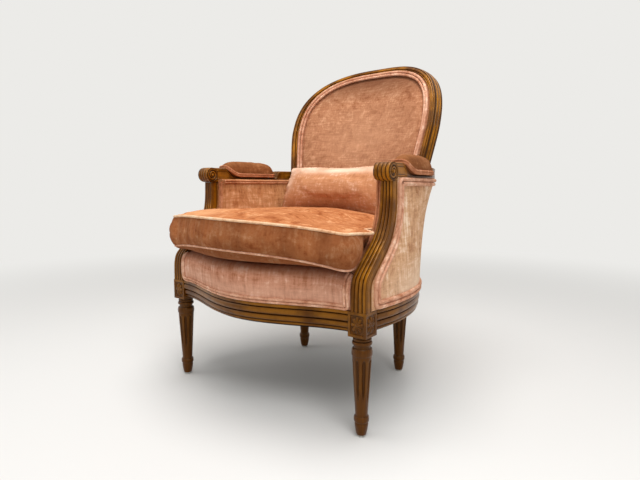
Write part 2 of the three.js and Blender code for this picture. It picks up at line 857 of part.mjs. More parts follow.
// Arm pad: crowned, wider than the arm, following the sunk top of the arm.
function armPad(side) {
  const ys = armYs.filter((y) => y > padFrontY - overrun && y < padRearY + overrun);
  const rings = ys.map((y, i) => {
    const end = Math.min(i, ys.length - 1 - i);
    const full = padEndShares[end] ?? 1;
    const crownTop = armSeatZ + padHeight;
    const bottom = armTop(y) + seatGap;
    const height = (crownTop - bottom) * full;
    const wide = padHalfWidth * lerp(full, 1, 1 / 2);
    const half = padShares.map(([x, z]) => [wide * x, bottom + height * z]);
    const other = half.slice(0, -1).map(([x, z]) => [-x, z]);
    return [...half, ...other.reverse()].map(([x, z]) => at(side * armCentre(y) + x, y, z));
  });
  return loft(rings);
}

// Inner face of the padded side, as x for a place in plan and a height.
function sideInnerX(y, z) {
  const share = clampShare((z - railTop) / (sidePanelTop - railTop));
  const atSeat = railX(y) - railThickness - sidePadThickness - sideSetBack;
  const atArm = armCentre(y) - armHalfWidth + tongueInset - seatGap - sidePadThickness;
  return lerp(atSeat, atArm, share);
}
const stileInnerX = (z) => stileX(backAlong(z));
const stileFrontY = (x, z) => backPoint(x, backAlong(z), 0).y;
// Heights at which the covers follow the back of the support's show wood.
function sideLevels(low) {
  const heights = supportLine.map((_, i) => supportPoint(i, supportVisible)[1]);
  return [low, ...heights.filter((z) => z > low + overrun && z < sidePanelTop - overrun), sidePanelTop];
}

function planCurve(points, steps) {
  const curve = new THREE.CatmullRomCurve3(points.map(([x, y]) => at(x, y, 0)));
  return span(steps).map((t) => curve.getPoint(t));
}

// Inside arm panel: padded between the support, the arm and the stile.
function insideArm(side) {
  const rings = sideLevels(sidePanelBottom).map((z) => {
    const front = supportY(z, supportVisible) + seatGap;
    const height = (z - sidePanelBottom) / (sidePanelTop - sidePanelBottom);
    const swell = borderBulge * (1 - (2 * height - 1) ** 4);
    const inner = stileInnerX(z);
    const rear = stileFrontY(inner + overrun + frameWidth / 2, z) - 3 * seatGap;
    const places = insidePlaceShares.map((t) => lerp(front, rear, t));
    const face = places.map((y, i) => {
      const x = Math.max(sideInnerX(y, z), inner + overrun);
      return [x - (i > 0 ? swell : 0), y];
    });
    const end = stileFrontY(inner + overrun, z) - 3 * seatGap;
    const path = planCurve([...face, [inner + overrun, Math.min(end, rear)]], 7);
    const hidden = path.map((p, i) => {
      const thickness = i === path.length - 1 ? frameWidth / 2 : sidePadThickness;
      const limit = armCentre(p.y) - armHalf(p.y) + tongueInset - seatGap;
      return at(Math.min(p.x + thickness, limit), p.y, z);
    });
    const ring = [...path.map((p) => at(p.x, p.y, z)), ...hidden.reverse()];
    return ring.map((p) => at(side * p.x, p.y, z));
  });
  return loft(rings);
}

// Outer face of the side, from the rail below to the arm above.
function sideOuterX(y, z) {
  const share = clampShare((z - railTop) / (sidePanelTop - railTop));
  return lerp(railX(y) - outerSetBack, armEdge(y), Math.pow(share, outerLeanShare));
}

// Outside arm panel: a thin cover round the curve of the side, from support to stile.
function outsideArm(side) {
  const bottom = railTop + 3 * seatGap;
  const rings = sideLevels(bottom).map((z) => {
    const front = supportY(z, supportVisible) + seatGap;
    const corner = backPoint(stileInnerX(z) + frameWidth, backAlong(z), frameDepth);
    const outer = corner.x + seatGap;
    const rear = corner.y - overrun;
    const places = outsidePlaceShares.map((t) => lerp(front, rear, t));
    const face = places.map((y) => [Math.max(sideOuterX(y, z), outer + overrun), y]);
    face[0][0] = supportOuterX(z) - seatGap;
    const path = planCurve([...face, [outer + seatGap, rear]], 8);
    const hidden = path.map((p, i) => {
      const ahead = path[Math.min(i + 1, path.length - 1)];
      const behind = path[Math.max(i - 1, 0)];
      const length = Math.hypot(ahead.x - behind.x, ahead.y - behind.y);
      const nx = (ahead.y - behind.y) / length;
      const ny = -(ahead.x - behind.x) / length;
      const first = i === 0;
      const thick = outerCoverThickness;
      return at(p.x - thick * (first ? 1 : nx), p.y - thick * (first ? 0 : ny), z);
    });
    const ring = [...path.map((p) => at(p.x, p.y, z)), ...hidden.reverse()];
    return ring.map((p) => at(side * p.x, p.y, z));
  });
  return cut(loft(rings), stile(side, seatGap));
}

// A padded panel in the opening of the back: flat behind, crowned in front when it has a crown.
function backPanel(low, depth, thickness, crown, shares) {
  const outline = backOpening(low, edgeGap, 6, 8);
  const middle = (low + archSpring + archRise) / 2;
  const ring = (share, v) => outline.map(([x, w]) => backPoint(x * share, lerp(middle, w, share), v));
  const behind = flatPanelShares.map(([share]) => ring(share, depth + thickness)).reverse();
  const front = shares.map(([share, rise]) => ring(share, depth - crown * rise));
  return loft([...behind, ...front]);
}

const insideBackPad = () =>
  backPanel(backAlong(backPadBottom), 0, backPadThickness, backPadCrown, panelCrownShares);
const outsideBackPanel = () =>
  backPanel(stileFoot + 3 * seatGap, outsideBackDepth, outsideBackThickness, 0, flatPanelShares);

// Front border: stuffed edge under the cushion, bowed as the rail is, rounded over at its ends.
function frontBorder() {
  const end = armOuter - 2 * supportHalfWidth - seatGap;
  const rings = span(16).map((t) => {
    const x = lerp(-end, end, t);
    const line = frontLine(x);
    const top = borderTop - borderEndDrop * Math.pow(Math.abs(x) / end, borderEndShare);
    const low = railTop + seatGap;
    const foot = Math.min(line + borderBase, borderBackY - seatGap);
    return [
      ...borderShares.map(([d, h]) => at(x, line + borderBulge * d, lerp(low, top, h))),
      at(x, Math.min(line + borderShoulder, borderBackY - borderBulge), top),
      at(x, borderBackY, top),
      at(x, borderBackY, sidePanelBottom),
      at(x, foot, sidePanelBottom),
      at(x, foot, low),
    ];
  });
  return loft(rings);
}

// Plan of the room between the padded sides, in front of the back pad, at a height.
function seatRoom(z, inset, frontY, sideSteps, backSteps) {
  const w = backAlong(z);
  const crown = (x) => backPadCrown * (1 - (x / stileX(w)) ** 4);
  const corner = stileX(w) - inset - overrun;
  const padFace = (x) => backPoint(x, w, -crown(x));
  const last = padFace(corner).y - inset - backSlack - sidePadThickness;
  const sidePlaces = span(sideSteps).map((t) => lerp(frontY, last, t));
  const flank = sidePlaces.map((y) => [sideInnerX(y, z) - borderBulge - inset, y]);
  const backPlaces = span(backSteps).map((t) => padFace(corner * (1 - t)));
  const rear = backPlaces.map((p) => [p.x, p.y - inset - backSlack]);
  return [...flank, ...rear];
}
const mirroredOutline = (half) => [
  ...half,
  ...half
    .map(([x, y]) => [-x, y])
    .filter(([x]) => Math.abs(x) > seatGap)
    .reverse(),
];

function seatDeck() {
  const low = seatRoom(sidePanelBottom, edgeGap, borderBackY + seatGap, 5, 4);
  const outline = mirroredOutline(low);
  const centreY = (borderBackY + rearLegY) / 2;
  const rings = deckShares.map(([share, h]) => {
    const z = lerp(deckBottom, deckTop, h);
    return outline.map(([x, y]) => at(x * share, lerp(centreY, y, share), z));
  });
  return loft(rings);
}

// Seat cushion: ears in front of the arm supports, bowed front, crowned top, drawn-in boxing.
const earRearY = supportY(cushionLowerEdge, 0) - earClear;
// A rounded corner of its ears, with its turn given in quarter turns.
const rounded = (x, y, from, to) =>
  span(2).map((t) => {
    const turn = lerp(from, to, t) * quarterTurn;
    return [x + earCorner * Math.cos(turn), y + earCorner * Math.sin(turn)];
  });
function cushionOutline() {
  const bow = span(7).map((t) => {
    const x = t * (earHalfWidth - 2 * earCorner);
    return [x, frontLine(Math.min(x, frontBowReach)) - cushionFrontOverhang];
  });
  const earFront = frontLine(frontBowReach) - cushionFrontOverhang;
  const ear = [
    ...rounded(earHalfWidth - earCorner, earFront + earCorner, -1, 0),
    ...rounded(earHalfWidth - earCorner, earRearY - earCorner, 0, 1),
    ...rounded(neckHalfWidth + earCorner, earRearY + earCorner, -1, -2),
  ];
  const neckBack = supportY(cushionBottom, supportVisible) - softGap;
  const room = seatRoom(cushionBottom, softGap, neckBack, 5, 4);
  const passage = room[0][0]; // no wider than the mouth that it is drawn out through
  const body = room.map(([x, y]) => [Math.min(x, passage), y]);
  return mirroredOutline([...bow, ...ear, ...body]);
}

function seatCushion() {
  const outline = cushionOutline();
  const plateauFrontY = outline[0][1] + plateauInset;
  const plateauRearY = Math.max(...outline.map(([, y]) => y)) - plateauInset;
  const plateauHalfWidth = earHalfWidth - plateauInset;
  const plateauY = (plateauFrontY + plateauRearY) / 2;
  const lengths = outline.map(([x, y], i) => {
    const [x0, y0] = outline.at(i - 1);
    return Math.hypot(x - x0, y - y0);
  });
  const around = lengths.reduce((sum, d) => sum + d);
  const along = (value) => Math.sign(value) * Math.pow(Math.abs(value), 2 / plateauShare);
  const reach = (plateauRearY - plateauFrontY) / 2;
  let gone = -lengths[0];
  const plateau = lengths.map((d) => {
    gone += d;
    const turn = (gone / around) * 2 * Math.PI;
    return [plateauHalfWidth * along(Math.sin(turn)), plateauY - reach * along(Math.cos(turn))];
  });
  const ring = (share, z, hold = 1, draw = 0) =>
    outline.map(([x, y], i) => {
      const middleY = lerp(plateauY, earRearY, hold);
      const px = share * lerp(plateau[i][0], x, hold);
      const py = share * (lerp(plateau[i][1], y, hold) - middleY);
      const length = Math.hypot(px, py);
      return at(px - (draw * px) / length, middleY + py - (draw * py) / length, z);
    });
  const under = cushionUnderShares.map(([share, rise]) =>
    ring(share, lerp(cushionLowerEdge, cushionBottom, rise)),
  );
  const edges = [
    ring(1, cushionLowerEdge),
    ring(1, (cushionLowerEdge + cushionUpperEdge) / 2, 1, boxingDraw),
    ring(1, cushionUpperEdge),
  ];
  const crown = cushionCrownShares.map(([share, rise]) =>
    ring(share, lerp(cushionUpperEdge, cushionTop, rise), Math.pow(share, crownEaseShare)),
  );
  return loft([...under, ...edges, ...crown]);
}

// Lumbar pillow: a knife-edged form that leans on the back pad and sits in the cushion.
function lumbarPillow(cushion) {
  const w = backAlong(pillowZ);
  const pillowHalfWidth = stileX(w) - pillowSideGap;
  const lean = backLean + w / sweepRadius;
  const centre = backPoint(0, w, -backPadCrown - pillowClear - pillowHalfThickness);
  const rings = pillowRowShares.map((a) => {
    const thick = pillowHalfThickness * Math.pow(1 - Math.abs(a) ** 3, pillowEdgeShare) + seatGap;
    const sag = Math.pow(1 - Math.abs(a) ** pillowCornerShare, 1 / pillowCornerShare);
    const tall = pillowHalfHeight * lerp(pillowSagShare, 1, sag);
    return pillowSectionShares.map(([up, out]) => {
      const h = up * tall;
      const v = out * thick;
      const x = pillowX + a * pillowHalfWidth;
      const bend = pillowBendShare * hollow(x);
      const y = centre.y - bend + h * Math.sin(lean) + v * Math.cos(lean);
      return at(x, y, pillowZ + h * Math.cos(lean) - v * Math.sin(lean));
    });
  });
  const seat = cushion.clone().translate(0, 0, seatGap * 2);
  return cut(loft(rings), seat);
}

// Webbing: strips across and along, woven over and under, tacked below the rails.
const webCentreZ = railTop - railHeight - seatGap - webThickness - seatGap / 2;
const crossings = [-1, 0, 1];
const nearLegShare = 0.1;
const weaveStep = (webThickness + seatGap) / 2;
function webStrip(ends, centres, place, phase) {
  const reach = webWidth / 2 + overrun;
  const marks = centres.flatMap((c, i) => {
    const height = weaveStep * ((i + phase) % 2 ? 1 : -1);
    return [
      [c - reach, height],
      [c + reach, height],
    ];
  });
  const stations = [[ends[0], weaveStep], ...marks, [ends[1], weaveStep]];
  const rings = stations.map(([t, height]) =>
    [
      [-webWidth / 2, -webThickness / 2],
      [webWidth / 2, -webThickness / 2],
      [webWidth / 2, webThickness / 2],
      [-webWidth / 2, webThickness / 2],
    ].map(([a, b]) => place(t, a, webCentreZ + height + b)),
  );
  return loft(rings);
}
const webYs = crossings.map((i) => lerp(webFrontY, rearLegY - webRearGap, (i + 1) / 2));
const webXs = crossings.map((i) => (seatHalfWidth - webSideGap) * i);
function lengthwiseWeb(i) {
  const x = webXs[i];
  const reach = railThickness / 2;
  const front = frontLine(Math.abs(x) - webWidth / 2) + reach;
  const back = planY(Math.abs(x) + webWidth / 2);
  return webStrip([front, back - reach], webYs, (t, a, z) => at(x + a, t, z), i);
}
function crosswiseWeb(i) {
  const y = webYs[i];
  const reach = railX(y + webWidth / 2) - railThickness / 2;
  return webStrip([-reach, reach], webXs, (t, a, z) => at(t, y + a, z), i + 1);
}

// Coil spring: an hourglass of wire between webbing and hessian.
const springFoot = webCentreZ + weaveStep + webThickness / 2 + seatGap + springWire / 2;
const springHead = hessianTop - hessianThickness - seatGap - springWire / 2;
function coilSpring(x, y) {
  const turns = springCurls * curlSteps;
  const rings = span(turns).map((t) => {
    const turn = t * springCurls * 2 * Math.PI;
    const waist = 1 - (2 * t - 1) ** 2;
    const radius = lerp(springRadius, springWaist, waist) - springWire / 2;
    const z = lerp(springFoot, springHead, t);
    return [0, 1, 2, 3].map((k) => {
      const around = k * quarterTurn;
      const r = radius + (springWire / 2) * Math.cos(around);
      const lift = (springWire / 2) * Math.sin(around);
      return at(x + r * Math.cos(turn), y + r * Math.sin(turn), z + lift);
    });
  });
  return loft(rings);
}
const curlGap = (springHead - springFoot) / springCurls - springWire;
console.log("least gap between spring curls " + curlGap.toFixed(1) + " mm");

// Plan of the well inside the rails.
function wellOutline(inset) {
  const drawn = Math.max(inset, 0);
  const end = frontLegX - blockSize / 2 - overrun - drawn;
  const front = span(4).map((t) => [t * end, frontLine(t * end) + railThickness + inset]);
  const start = (drawn + 2 * overrun) / (widestY - blockSize / 2) - 1;
  const around = span(9).map((t) => {
    const s = lerp(start, 1, t);
    const nearLeg = Math.exp(-(((s - rearTurn) / nearLegShare) ** 2));
    const extra = rearBlockDepth - railThickness + 2 * hessianFlange;
    return horseshoe(s, railThickness + inset + nearLeg * extra);
  });
  return mirroredOutline([...front, ...around]);
}

function springCover() {
  const rings = (drop, grow) => {
    const low = railTop + 3 * seatGap;
    const high = hessianTop - drop;
    return [
      [-hessianFlange + grow, low],
      [hessianThickness / 2 + grow, low + hessianThickness],
      [hessianInset + grow, high],
    ].map(([inset, z]) => wellOutline(inset).map(([x, y]) => at(x, y, z)));
  };
  const outer = rings(0, 0);
  const inner = rings(hessianThickness, hessianThickness);
  inner[0] = wellOutline(hessianThickness * 2).map(([x, y]) => at(x, y, railTop + seatGap - overrun));
  return cut(loft(outer), loft(inner));
}

function dustCover() {
  const end = frontLegX - blockSize / 2;
  const front = span(6).map((t) => [t * end, frontLine(t * end) + dustCoverInset]);
  const around = span(12).map((t) => horseshoe(lerp(-1, 1, t), dustCoverInset));
  const top = webCentreZ - weaveStep - webThickness / 2 - seatGap;
  const cover = plate(mirroredOutline([...front, ...around]), top - dustCoverThickness, top);
  const cutters = sides.flatMap(([, side]) => {
    const half = blockSize / 2 + overrun / 2;
    const x = side * frontLegX;
    const block = box(x - half, x + half, -half - overrun, half, top - 2 * overrun, top + overrun);
    const radius = legRadius;
    const round = new THREE.CylinderGeometry(radius, radius, 4 * overrun, 16).rotateX(quarterTurn);
    return [block, round.translate(side * rearLegX, rearLegY, top)];
  });
  return cut(cover, ...cutters);
}

// Corner block glued behind a front leg.
function cornerBlock(side) {
  const start = frontLegX - blockSize / 2 - seatGap;
  const clear = 3 * seatGap;
  const inner = (x) => frontLine(x) + railThickness + clear;
  const flank = inner(start) + braceLeg;
  const along = span(4).map((t) => [start - t * braceLeg, inner(start - t * braceLeg)]);
  const end = [railX(flank) - railThickness - clear, flank];
  const outline = [...along, end].map(([x, y]) => [side * x, y]);
  const high = railTop - braceDrop;
  return plate(outline, high - braceHeight, high);
}

// Stay rail inside the side, between support and stile, that the inner cover is tacked to.
function stayRail(side) {
  const low = sidePanelBottom + seatGap;
  const rings = span(8).map((t) => {
    const front = supportY(low + stayRailHeight, supportVisible + supportTongue) + seatGap;
    const y = lerp(front + overrun, rearLegY - frameDepth - overrun, t);
    return [
      [0, 0],
      [1, 0],
      [1, 1],
      [0, 1],
    ].map(([a, b]) => {
      const z = low + b * stayRailHeight;
      const cover = Math.max(sideInnerX(y, z), stileInnerX(z) + overrun) + sidePadThickness;
      return at(side * (cover + seatGap * 4 + a * stayRailThickness), y, z);
    });
  });
  return cut(loft(rings), stile(side, seatGap));
}

// Cross rail low in the back, between the stiles.
function backCrossRail() {
  const low = backAlong(backPadBottom);
  const rings = span(8).map((t) => {
    const share = lerp(-1, 1, t);
    return [
      [0, 0],
      [1, 0],
      [1, 1],
      [0, 1],
    ].map(([a, b]) => {
      const w = low + a * crossRailHeight;
      const v = backPadThickness + backSlack + b * (crossRailThickness - backSlack);
      return backPoint(share * (stileX(w) - edgeGap), w, v);
    });
  });
  return loft(rings);
}

// The chair
const chair = new THREE.Group();
function piece(name, geometry, material) {
  const mesh = new THREE.Mesh(geometry, material);
  mesh.name = name;
  chair.add(mesh);
  return mesh;
}

piece("front_rail", frontRail(), wood);
piece("back_rail", backRail(), wood);
piece("back_crest_rail", crestRail(), wood);
for (const [name, side] of sides) {
  piece("front_leg_" + name, frontLeg(side), wood);
  piece("rear_leg_" + name, rearLeg(side), wood);
  piece("front_glide_" + name, glide(side, frontLegX, 0), greyPlastic);
  piece("rear_glide_" + name, glide(side, rearLegX, rearLegY), greyPlastic);
  piece("side_rail_" + name, sideRail(side), wood);
  piece("arm_support_" + name, armSupport(side), wood);
  piece("arm_" + name, arm(side), wood);
  piece("arm_pad_" + name, armPad(side), velvet);
  piece("inside_arm_panel_" + name, insideArm(side), velvet);
  piece("outside_arm_panel_" + name, outsideArm(side), velvet);
  piece("corner_block_" + name, cornerBlock(side), plainWood);
  piece("stay_rail_" + name, stayRail(side), plainWood);
}
piece("back_cross_rail", backCrossRail(), plainWood);
piece("inside_back_pad", insideBackPad(), velvet);
piece("outside_back_panel", outsideBackPanel(), velvet);
piece("front_border", frontBorder(), velvet);
piece("seat_deck", seatDeck(), velvet);
piece("spring_cover", springCover(), jute);
piece("dust_cover", dustCover(), blackCloth);
crossings.forEach((_, i) => {
  piece("webbing_lengthwise_" + (i + 1), lengthwiseWeb(i), jute);
  piece("webbing_crosswise_" + (i + 1), crosswiseWeb(i), jute);
});
webYs.forEach((y, row) =>
  webXs.forEach((x, column) => {
    const number = row * webXs.length + column + 1;
    piece("spring_" + number, coilSpring(x, y), springSteel);
  }),
);
const cushion = seatCushion();
piece("seat_cushion", cushion, velvet);
piece("lumbar_pillow", lumbarPillow(cushion), velvet);

// The origin is on the floor under the middle of the whole chair.
const bounds = new THREE.Box3().setFromObject(chair);
chair.position.y = -(bounds.min.y + bounds.max.y) / 2;

export default chair;
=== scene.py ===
import json
import math

import bpy
import numpy as np
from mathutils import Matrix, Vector


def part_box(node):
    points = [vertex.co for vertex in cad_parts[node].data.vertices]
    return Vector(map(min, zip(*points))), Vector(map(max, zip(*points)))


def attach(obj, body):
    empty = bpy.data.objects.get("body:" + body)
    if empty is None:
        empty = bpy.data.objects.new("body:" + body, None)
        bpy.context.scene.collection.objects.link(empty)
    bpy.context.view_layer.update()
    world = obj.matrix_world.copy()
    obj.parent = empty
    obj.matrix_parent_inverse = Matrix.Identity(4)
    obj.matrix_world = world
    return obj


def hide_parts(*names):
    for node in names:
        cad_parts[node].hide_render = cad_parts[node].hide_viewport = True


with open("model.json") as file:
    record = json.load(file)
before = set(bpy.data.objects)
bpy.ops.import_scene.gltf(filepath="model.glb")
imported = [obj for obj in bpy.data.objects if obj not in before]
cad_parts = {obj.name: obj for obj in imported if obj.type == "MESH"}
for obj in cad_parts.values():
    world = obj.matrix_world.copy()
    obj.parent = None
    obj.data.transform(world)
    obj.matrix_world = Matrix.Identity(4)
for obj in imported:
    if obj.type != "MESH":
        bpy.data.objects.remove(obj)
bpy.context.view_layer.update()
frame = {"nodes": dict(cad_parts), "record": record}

# Lengths are millimetres on the chair's own axes, with the front legs at y = 0.
# place() turns them into metres in the frame of the model.
MILLIMETRE = 0.001
glide_low, glide_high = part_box("front_glide_right")
SHIFT_Y = (glide_low.y + glide_high.y) / 2 / MILLIMETRE

# Seat frame
FRONT_LEG_X = 312.5
REAR_LEG_X = 187.3
REAR_LEG_Y = 408.5
SEAT_HALF_WIDTH = 345
WIDEST_Y = 100
SEAT_BACK_REACH = 378
HORSESHOE_POWER = 2.19
FLARE = 9
FLARE_POWER = 1.8
BOW = 76
BOW_HALF_WIDTH = 300
BLOCK_SIZE = 47
BLOCK_BOTTOM = 235
BLOCK_TOP = 291
RAIL_TOP = 292
RAIL_HEIGHT = 47.4
RAIL_THICKNESS = 46
RAIL_MOULD = 8
REAR_BLOCK_HALF = 27
JOINT_GAP = 0.3
REAR_JOINT = REAR_BLOCK_HALF + 2 * JOINT_GAP

# Back frame
BACK_LEAN = math.radians(17.64)
ARM_LEVEL = 600
SWEEP_RADIUS = (ARM_LEVEL - RAIL_TOP) / math.sin(BACK_LEAN)
STILE_FOOT = -SWEEP_RADIUS * BACK_LEAN
BACK_FRONT = 469.88
HOLLOW = 74.8 / 250 ** 2
ARCH_HALF_WIDTH = 244
ARCH_SPRING = 159.4
ARCH_RISE = 202.1
ARCH_POWER = 2.6
FRAME_WIDTH = 19
FRAME_DEPTH = 34
STILE_WAIST = 0.16305

# Arms
ARM_OUTER = 336
ARM_TOP_OUTER = 329.3
ARM_HALF_WIDTH = 18
REED_DEPTH = 2.6
VOLUTE_FACE = 3.4
VOLUTE_PITCH = 8.2
SCROLL_Y = 96
SCROLL_Z = 600
SCROLL_RADIUS = 22
SUPPORT_DEPTH = 24
ARM_SEAT_Z = 593.7
ARM_LEDGE_Z = 587.6
PAD_FRONT_Y = 154
PANEL_TOP = 587
PANEL_FOOT = 345
COVER_FOOT = 293
CUSHION_FOOT = 388.3
BACK_CROWN = 26
PILLOW_THICKNESS = 52
SIDES = (("left", -1), ("right", 1))


def place(points):
    """Points of the chair in millimetres, moved along y into the model's frame, in metres."""
    return (np.asarray(points, float) + [0, SHIFT_Y, 0]) * MILLIMETRE


# Plain shape helpers

def mix(a, b, t):
    """a + (b - a) t."""
    return a + (b - a) * t


def smooth(t):
    """3 t^2 - 2 t^3 with t held between 0 and 1."""
    t = held(t)
    return t * t * (3 - 2 * t)


def held(t):
    """t held between 0 and 1."""
    return np.clip(t, 0, 1)


def bell(*distances):
    """exp(-d^2), or with several distances exp(-(a^2 + b^2 + ...))."""
    return np.exp(-sum(d ** 2 for d in distances))


def half_round(t):
    """sqrt(1 - t^2), and 0 past the ends."""
    return np.sqrt(held(1 - t ** 2))


def signed_power(t, power):
    """The power of t's size, with t's sign."""
    return np.sign(t) * np.abs(t) ** power


def full_turn(count):
    """Angles in even steps round a full turn."""
    return np.linspace(0, 2 * math.pi, count, endpoint=False)


def joined(*parts):
    """Parts one after the other along the rows."""
    return np.concatenate(parts)


def beside(*parts):
    """Parts side by side along the columns."""
    return np.concatenate(parts, 1)


def xyz(x, y, z):
    """Stacks three arrays, made the same size, into points."""
    return np.stack(np.broadcast_arrays(x, y, z), -1).astype(float)


def unit(vectors):
    """Vectors divided by their lengths."""
    return vectors / np.maximum(np.linalg.norm(vectors, axis=-1, keepdims=True), 1e-12)


def spline(points, count, axis=0):
    """Catmull-Rom curve: between two points, the cubic whose slopes are half the steps to their
    neighbours, read at count even places of its parameter."""
    p = np.moveaxis(np.asarray(points, float), axis, 0)
    p = joined(2 * p[:1] - p[1:2], p, 2 * p[-1:] - p[-2:-1])
    t = np.linspace(0, len(p) - 3 - 1e-9, count)
    i = t.astype(int)
    u = (t - i).reshape((-1,) + (1,) * (p.ndim - 1))
    a, b, c, d = p[i], p[i + 1], p[i + 2], p[i + 3]
    curve = b + 0.5 * u * (c - a + u * (2 * a - 5 * b + 4 * c - d + u * (3 * (b - c) + d - a)))
    return np.moveaxis(curve, 0, axis)


def even(path, count, closed=False):
    """The path read at count even distances along it."""
    path = np.asarray(path, float)
    if closed:
        path = joined(path, path[:1])
    along = joined([0], np.cumsum(np.linalg.norm(np.diff(path, axis=0), axis=1)))
    at = np.linspace(0, along[-1], count + closed)[: count]
    return np.stack([np.interp(at, along, path[:, k]) for k in range(path.shape[1])], 1)


def noise(*coordinates, seed=0, waves=9):
    """Soft unevenness between about -1 and 1: a sum of sines whose directions and phases come
    from a seeded table."""
    rng = np.random.default_rng(seed)
    total = 0
    for k in range(waves):
        direction = rng.normal(size=len(coordinates))
        phase = rng.uniform(0, 2 * math.pi)
        total = total + np.sin(sum(c * d for c, d in zip(coordinates, direction)) * (1 + k / 3) + phase)
    return total / math.sqrt(waves * 2)


class Form:
    """A closed surface on a grid of points (rows along, columns around), with how deep each
    point lies in a groove, which on padded pieces is their painted shade instead. It ends in two
    flat caps, or is a loop whose last row meets the first."""

    def __init__(self, points, groove=0, loop=False):
        rows, columns = points.shape[:2]
        self.points = points.reshape(-1, 3)
        self.groove = np.broadcast_to(groove, (rows, columns)).reshape(-1)
        i, j = np.meshgrid(np.arange(rows - 1 + loop), np.arange(columns), indexing="ij")
        up, on = (i + 1) % rows, (j + 1) % columns
        corners = [i * columns + j, i * columns + on, up * columns + on, up * columns + j]
        self.quads = np.stack(corners, -1).reshape(-1, 4)
        self.caps = [] if loop else [np.arange(columns)[::-1], (rows - 1) * columns + np.arange(columns)]
        wide = beside(points, points[:, :1])
        tall = joined(wide, wide[:1]) if loop else wide
        along, around = (np.linalg.norm(np.diff(tall, axis=k, prepend=tall.take([0], k)), axis=2)
                         for k in (0, 1))
        along, around = np.cumsum(along, 0).mean(1), np.cumsum(around, 1).mean(0)
        uv = np.stack(np.meshgrid(along, around, indexing="ij"), -1) * MILLIMETRE
        self.uv = np.stack([uv[:-1, :-1], uv[:-1, 1:], uv[1:, 1:], uv[1:, :-1]], 2).reshape(-1, 2)
        if self.volume() < 0:
            self.quads = self.quads[:, ::-1]
            self.uv = self.uv.reshape(-1, 4, 2)[:, ::-1].reshape(-1, 2)
            self.caps = [cap[::-1] for cap in self.caps]

    def volume(self):
        """Six times the volume inside, below 0 where the faces look inward."""
        around_middle = self.points - self.points.mean(0)
        a, b, c, d = (around_middle[self.quads[:, k]] for k in range(4))
        total = np.sum(a * (np.cross(b, c) + np.cross(c, d)))
        for cap in self.caps:
            p = around_middle[cap]
            total += np.sum(p[0] * np.cross(p, np.roll(p, -1, 0)))
        return total


def build(name, forms, finish, body="root", crease=38, replaces=()):
    """One object from closed forms: their points, faces, lengthwise and crosswise distances as
    UVs, and the groove attribute."""
    starts = np.cumsum([0] + [len(form.points) for form in forms])
    faces = [quad for form, start in zip(forms, starts) for quad in (form.quads + start).tolist()]
    faces += [(cap + start).tolist() for form, start in zip(forms, starts) for cap in form.caps]
    uvs = [form.uv for form in forms]
    uvs += [form.points[cap][:, [2, 0]] * MILLIMETRE for form in forms for cap in form.caps]
    mesh = bpy.data.meshes.new(name)
    mesh.from_pydata(place(joined(*(form.points for form in forms))).tolist(), [], faces)
    layer = mesh.uv_layers.new(name="UVMap")
    layer.data.foreach_set("uv", joined(*uvs).astype(np.float32).reshape(-1))
    groove = mesh.attributes.new("groove", "FLOAT", "POINT")
    groove.data.foreach_set("value", joined(*(form.groove for form in forms)).astype(np.float32))
    mesh.shade_smooth()
    mesh.set_sharp_from_angle(angle=math.radians(crease))
    mesh.materials.append(finish)
    piece = bpy.data.objects.new(name, mesh)
    bpy.context.scene.collection.objects.link(piece)
    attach(piece, body)
    if replaces:
        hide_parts(*replaces)
    return piece


CORD_SIDES = 10


def tube(path, radius, up, closed=False):
    """A round cord along a path: path + r (side cos a + top sin a), where side is square to the
    path and to up, and top is square to both."""
    ahead = np.roll(path, -1, 0) - np.roll(path, 1, 0) if closed else np.gradient(path, axis=0)
    ahead = unit(ahead)
    side = unit(np.cross(ahead, np.broadcast_to(up, path.shape)))
    top = np.cross(side, ahead)
    a = full_turn(CORD_SIDES)[:, None]
    around = side[:, None] * np.cos(a) + top[:, None] * np.sin(a)
    return Form(path[:, None] + radius * around, loop=closed)


def double_welt(path, up, radius):
    """Two cords side by side on a path: each lies 1.08 of its radius to one side."""
    side = unit(np.cross(unit(np.gradient(path, axis=0)), np.broadcast_to(up, path.shape)))
    return [tube(path + way * 1.08 * radius * side, radius, up) for way in (-1, 1)]


# Materials

class Value:
    """A number on its way through a material: an operator adds its Math node."""

    def __init__(self, paint, socket):
        self.paint, self.socket = paint, socket

    def math(self, operation, *others):
        return self.paint.node("ShaderNodeMath", {"operation": operation}, dict(enumerate(others)))

    def __add__(self, other):
        return self.math("ADD", self, other)

    def __mul__(self, other):
        return self.math("MULTIPLY", self, other)

    def __rsub__(self, other):
        return self.math("SUBTRACT", other, self)

    __radd__ = __add__
    __rmul__ = __mul__

    def between(self, low, high):
        """0 at low, 1 at high, eased between."""
        eased = {"interpolation_type": "SMOOTHSTEP"}
        return self.paint.node("ShaderNodeMapRange", eased, {0: self, 1: low, 2: high})


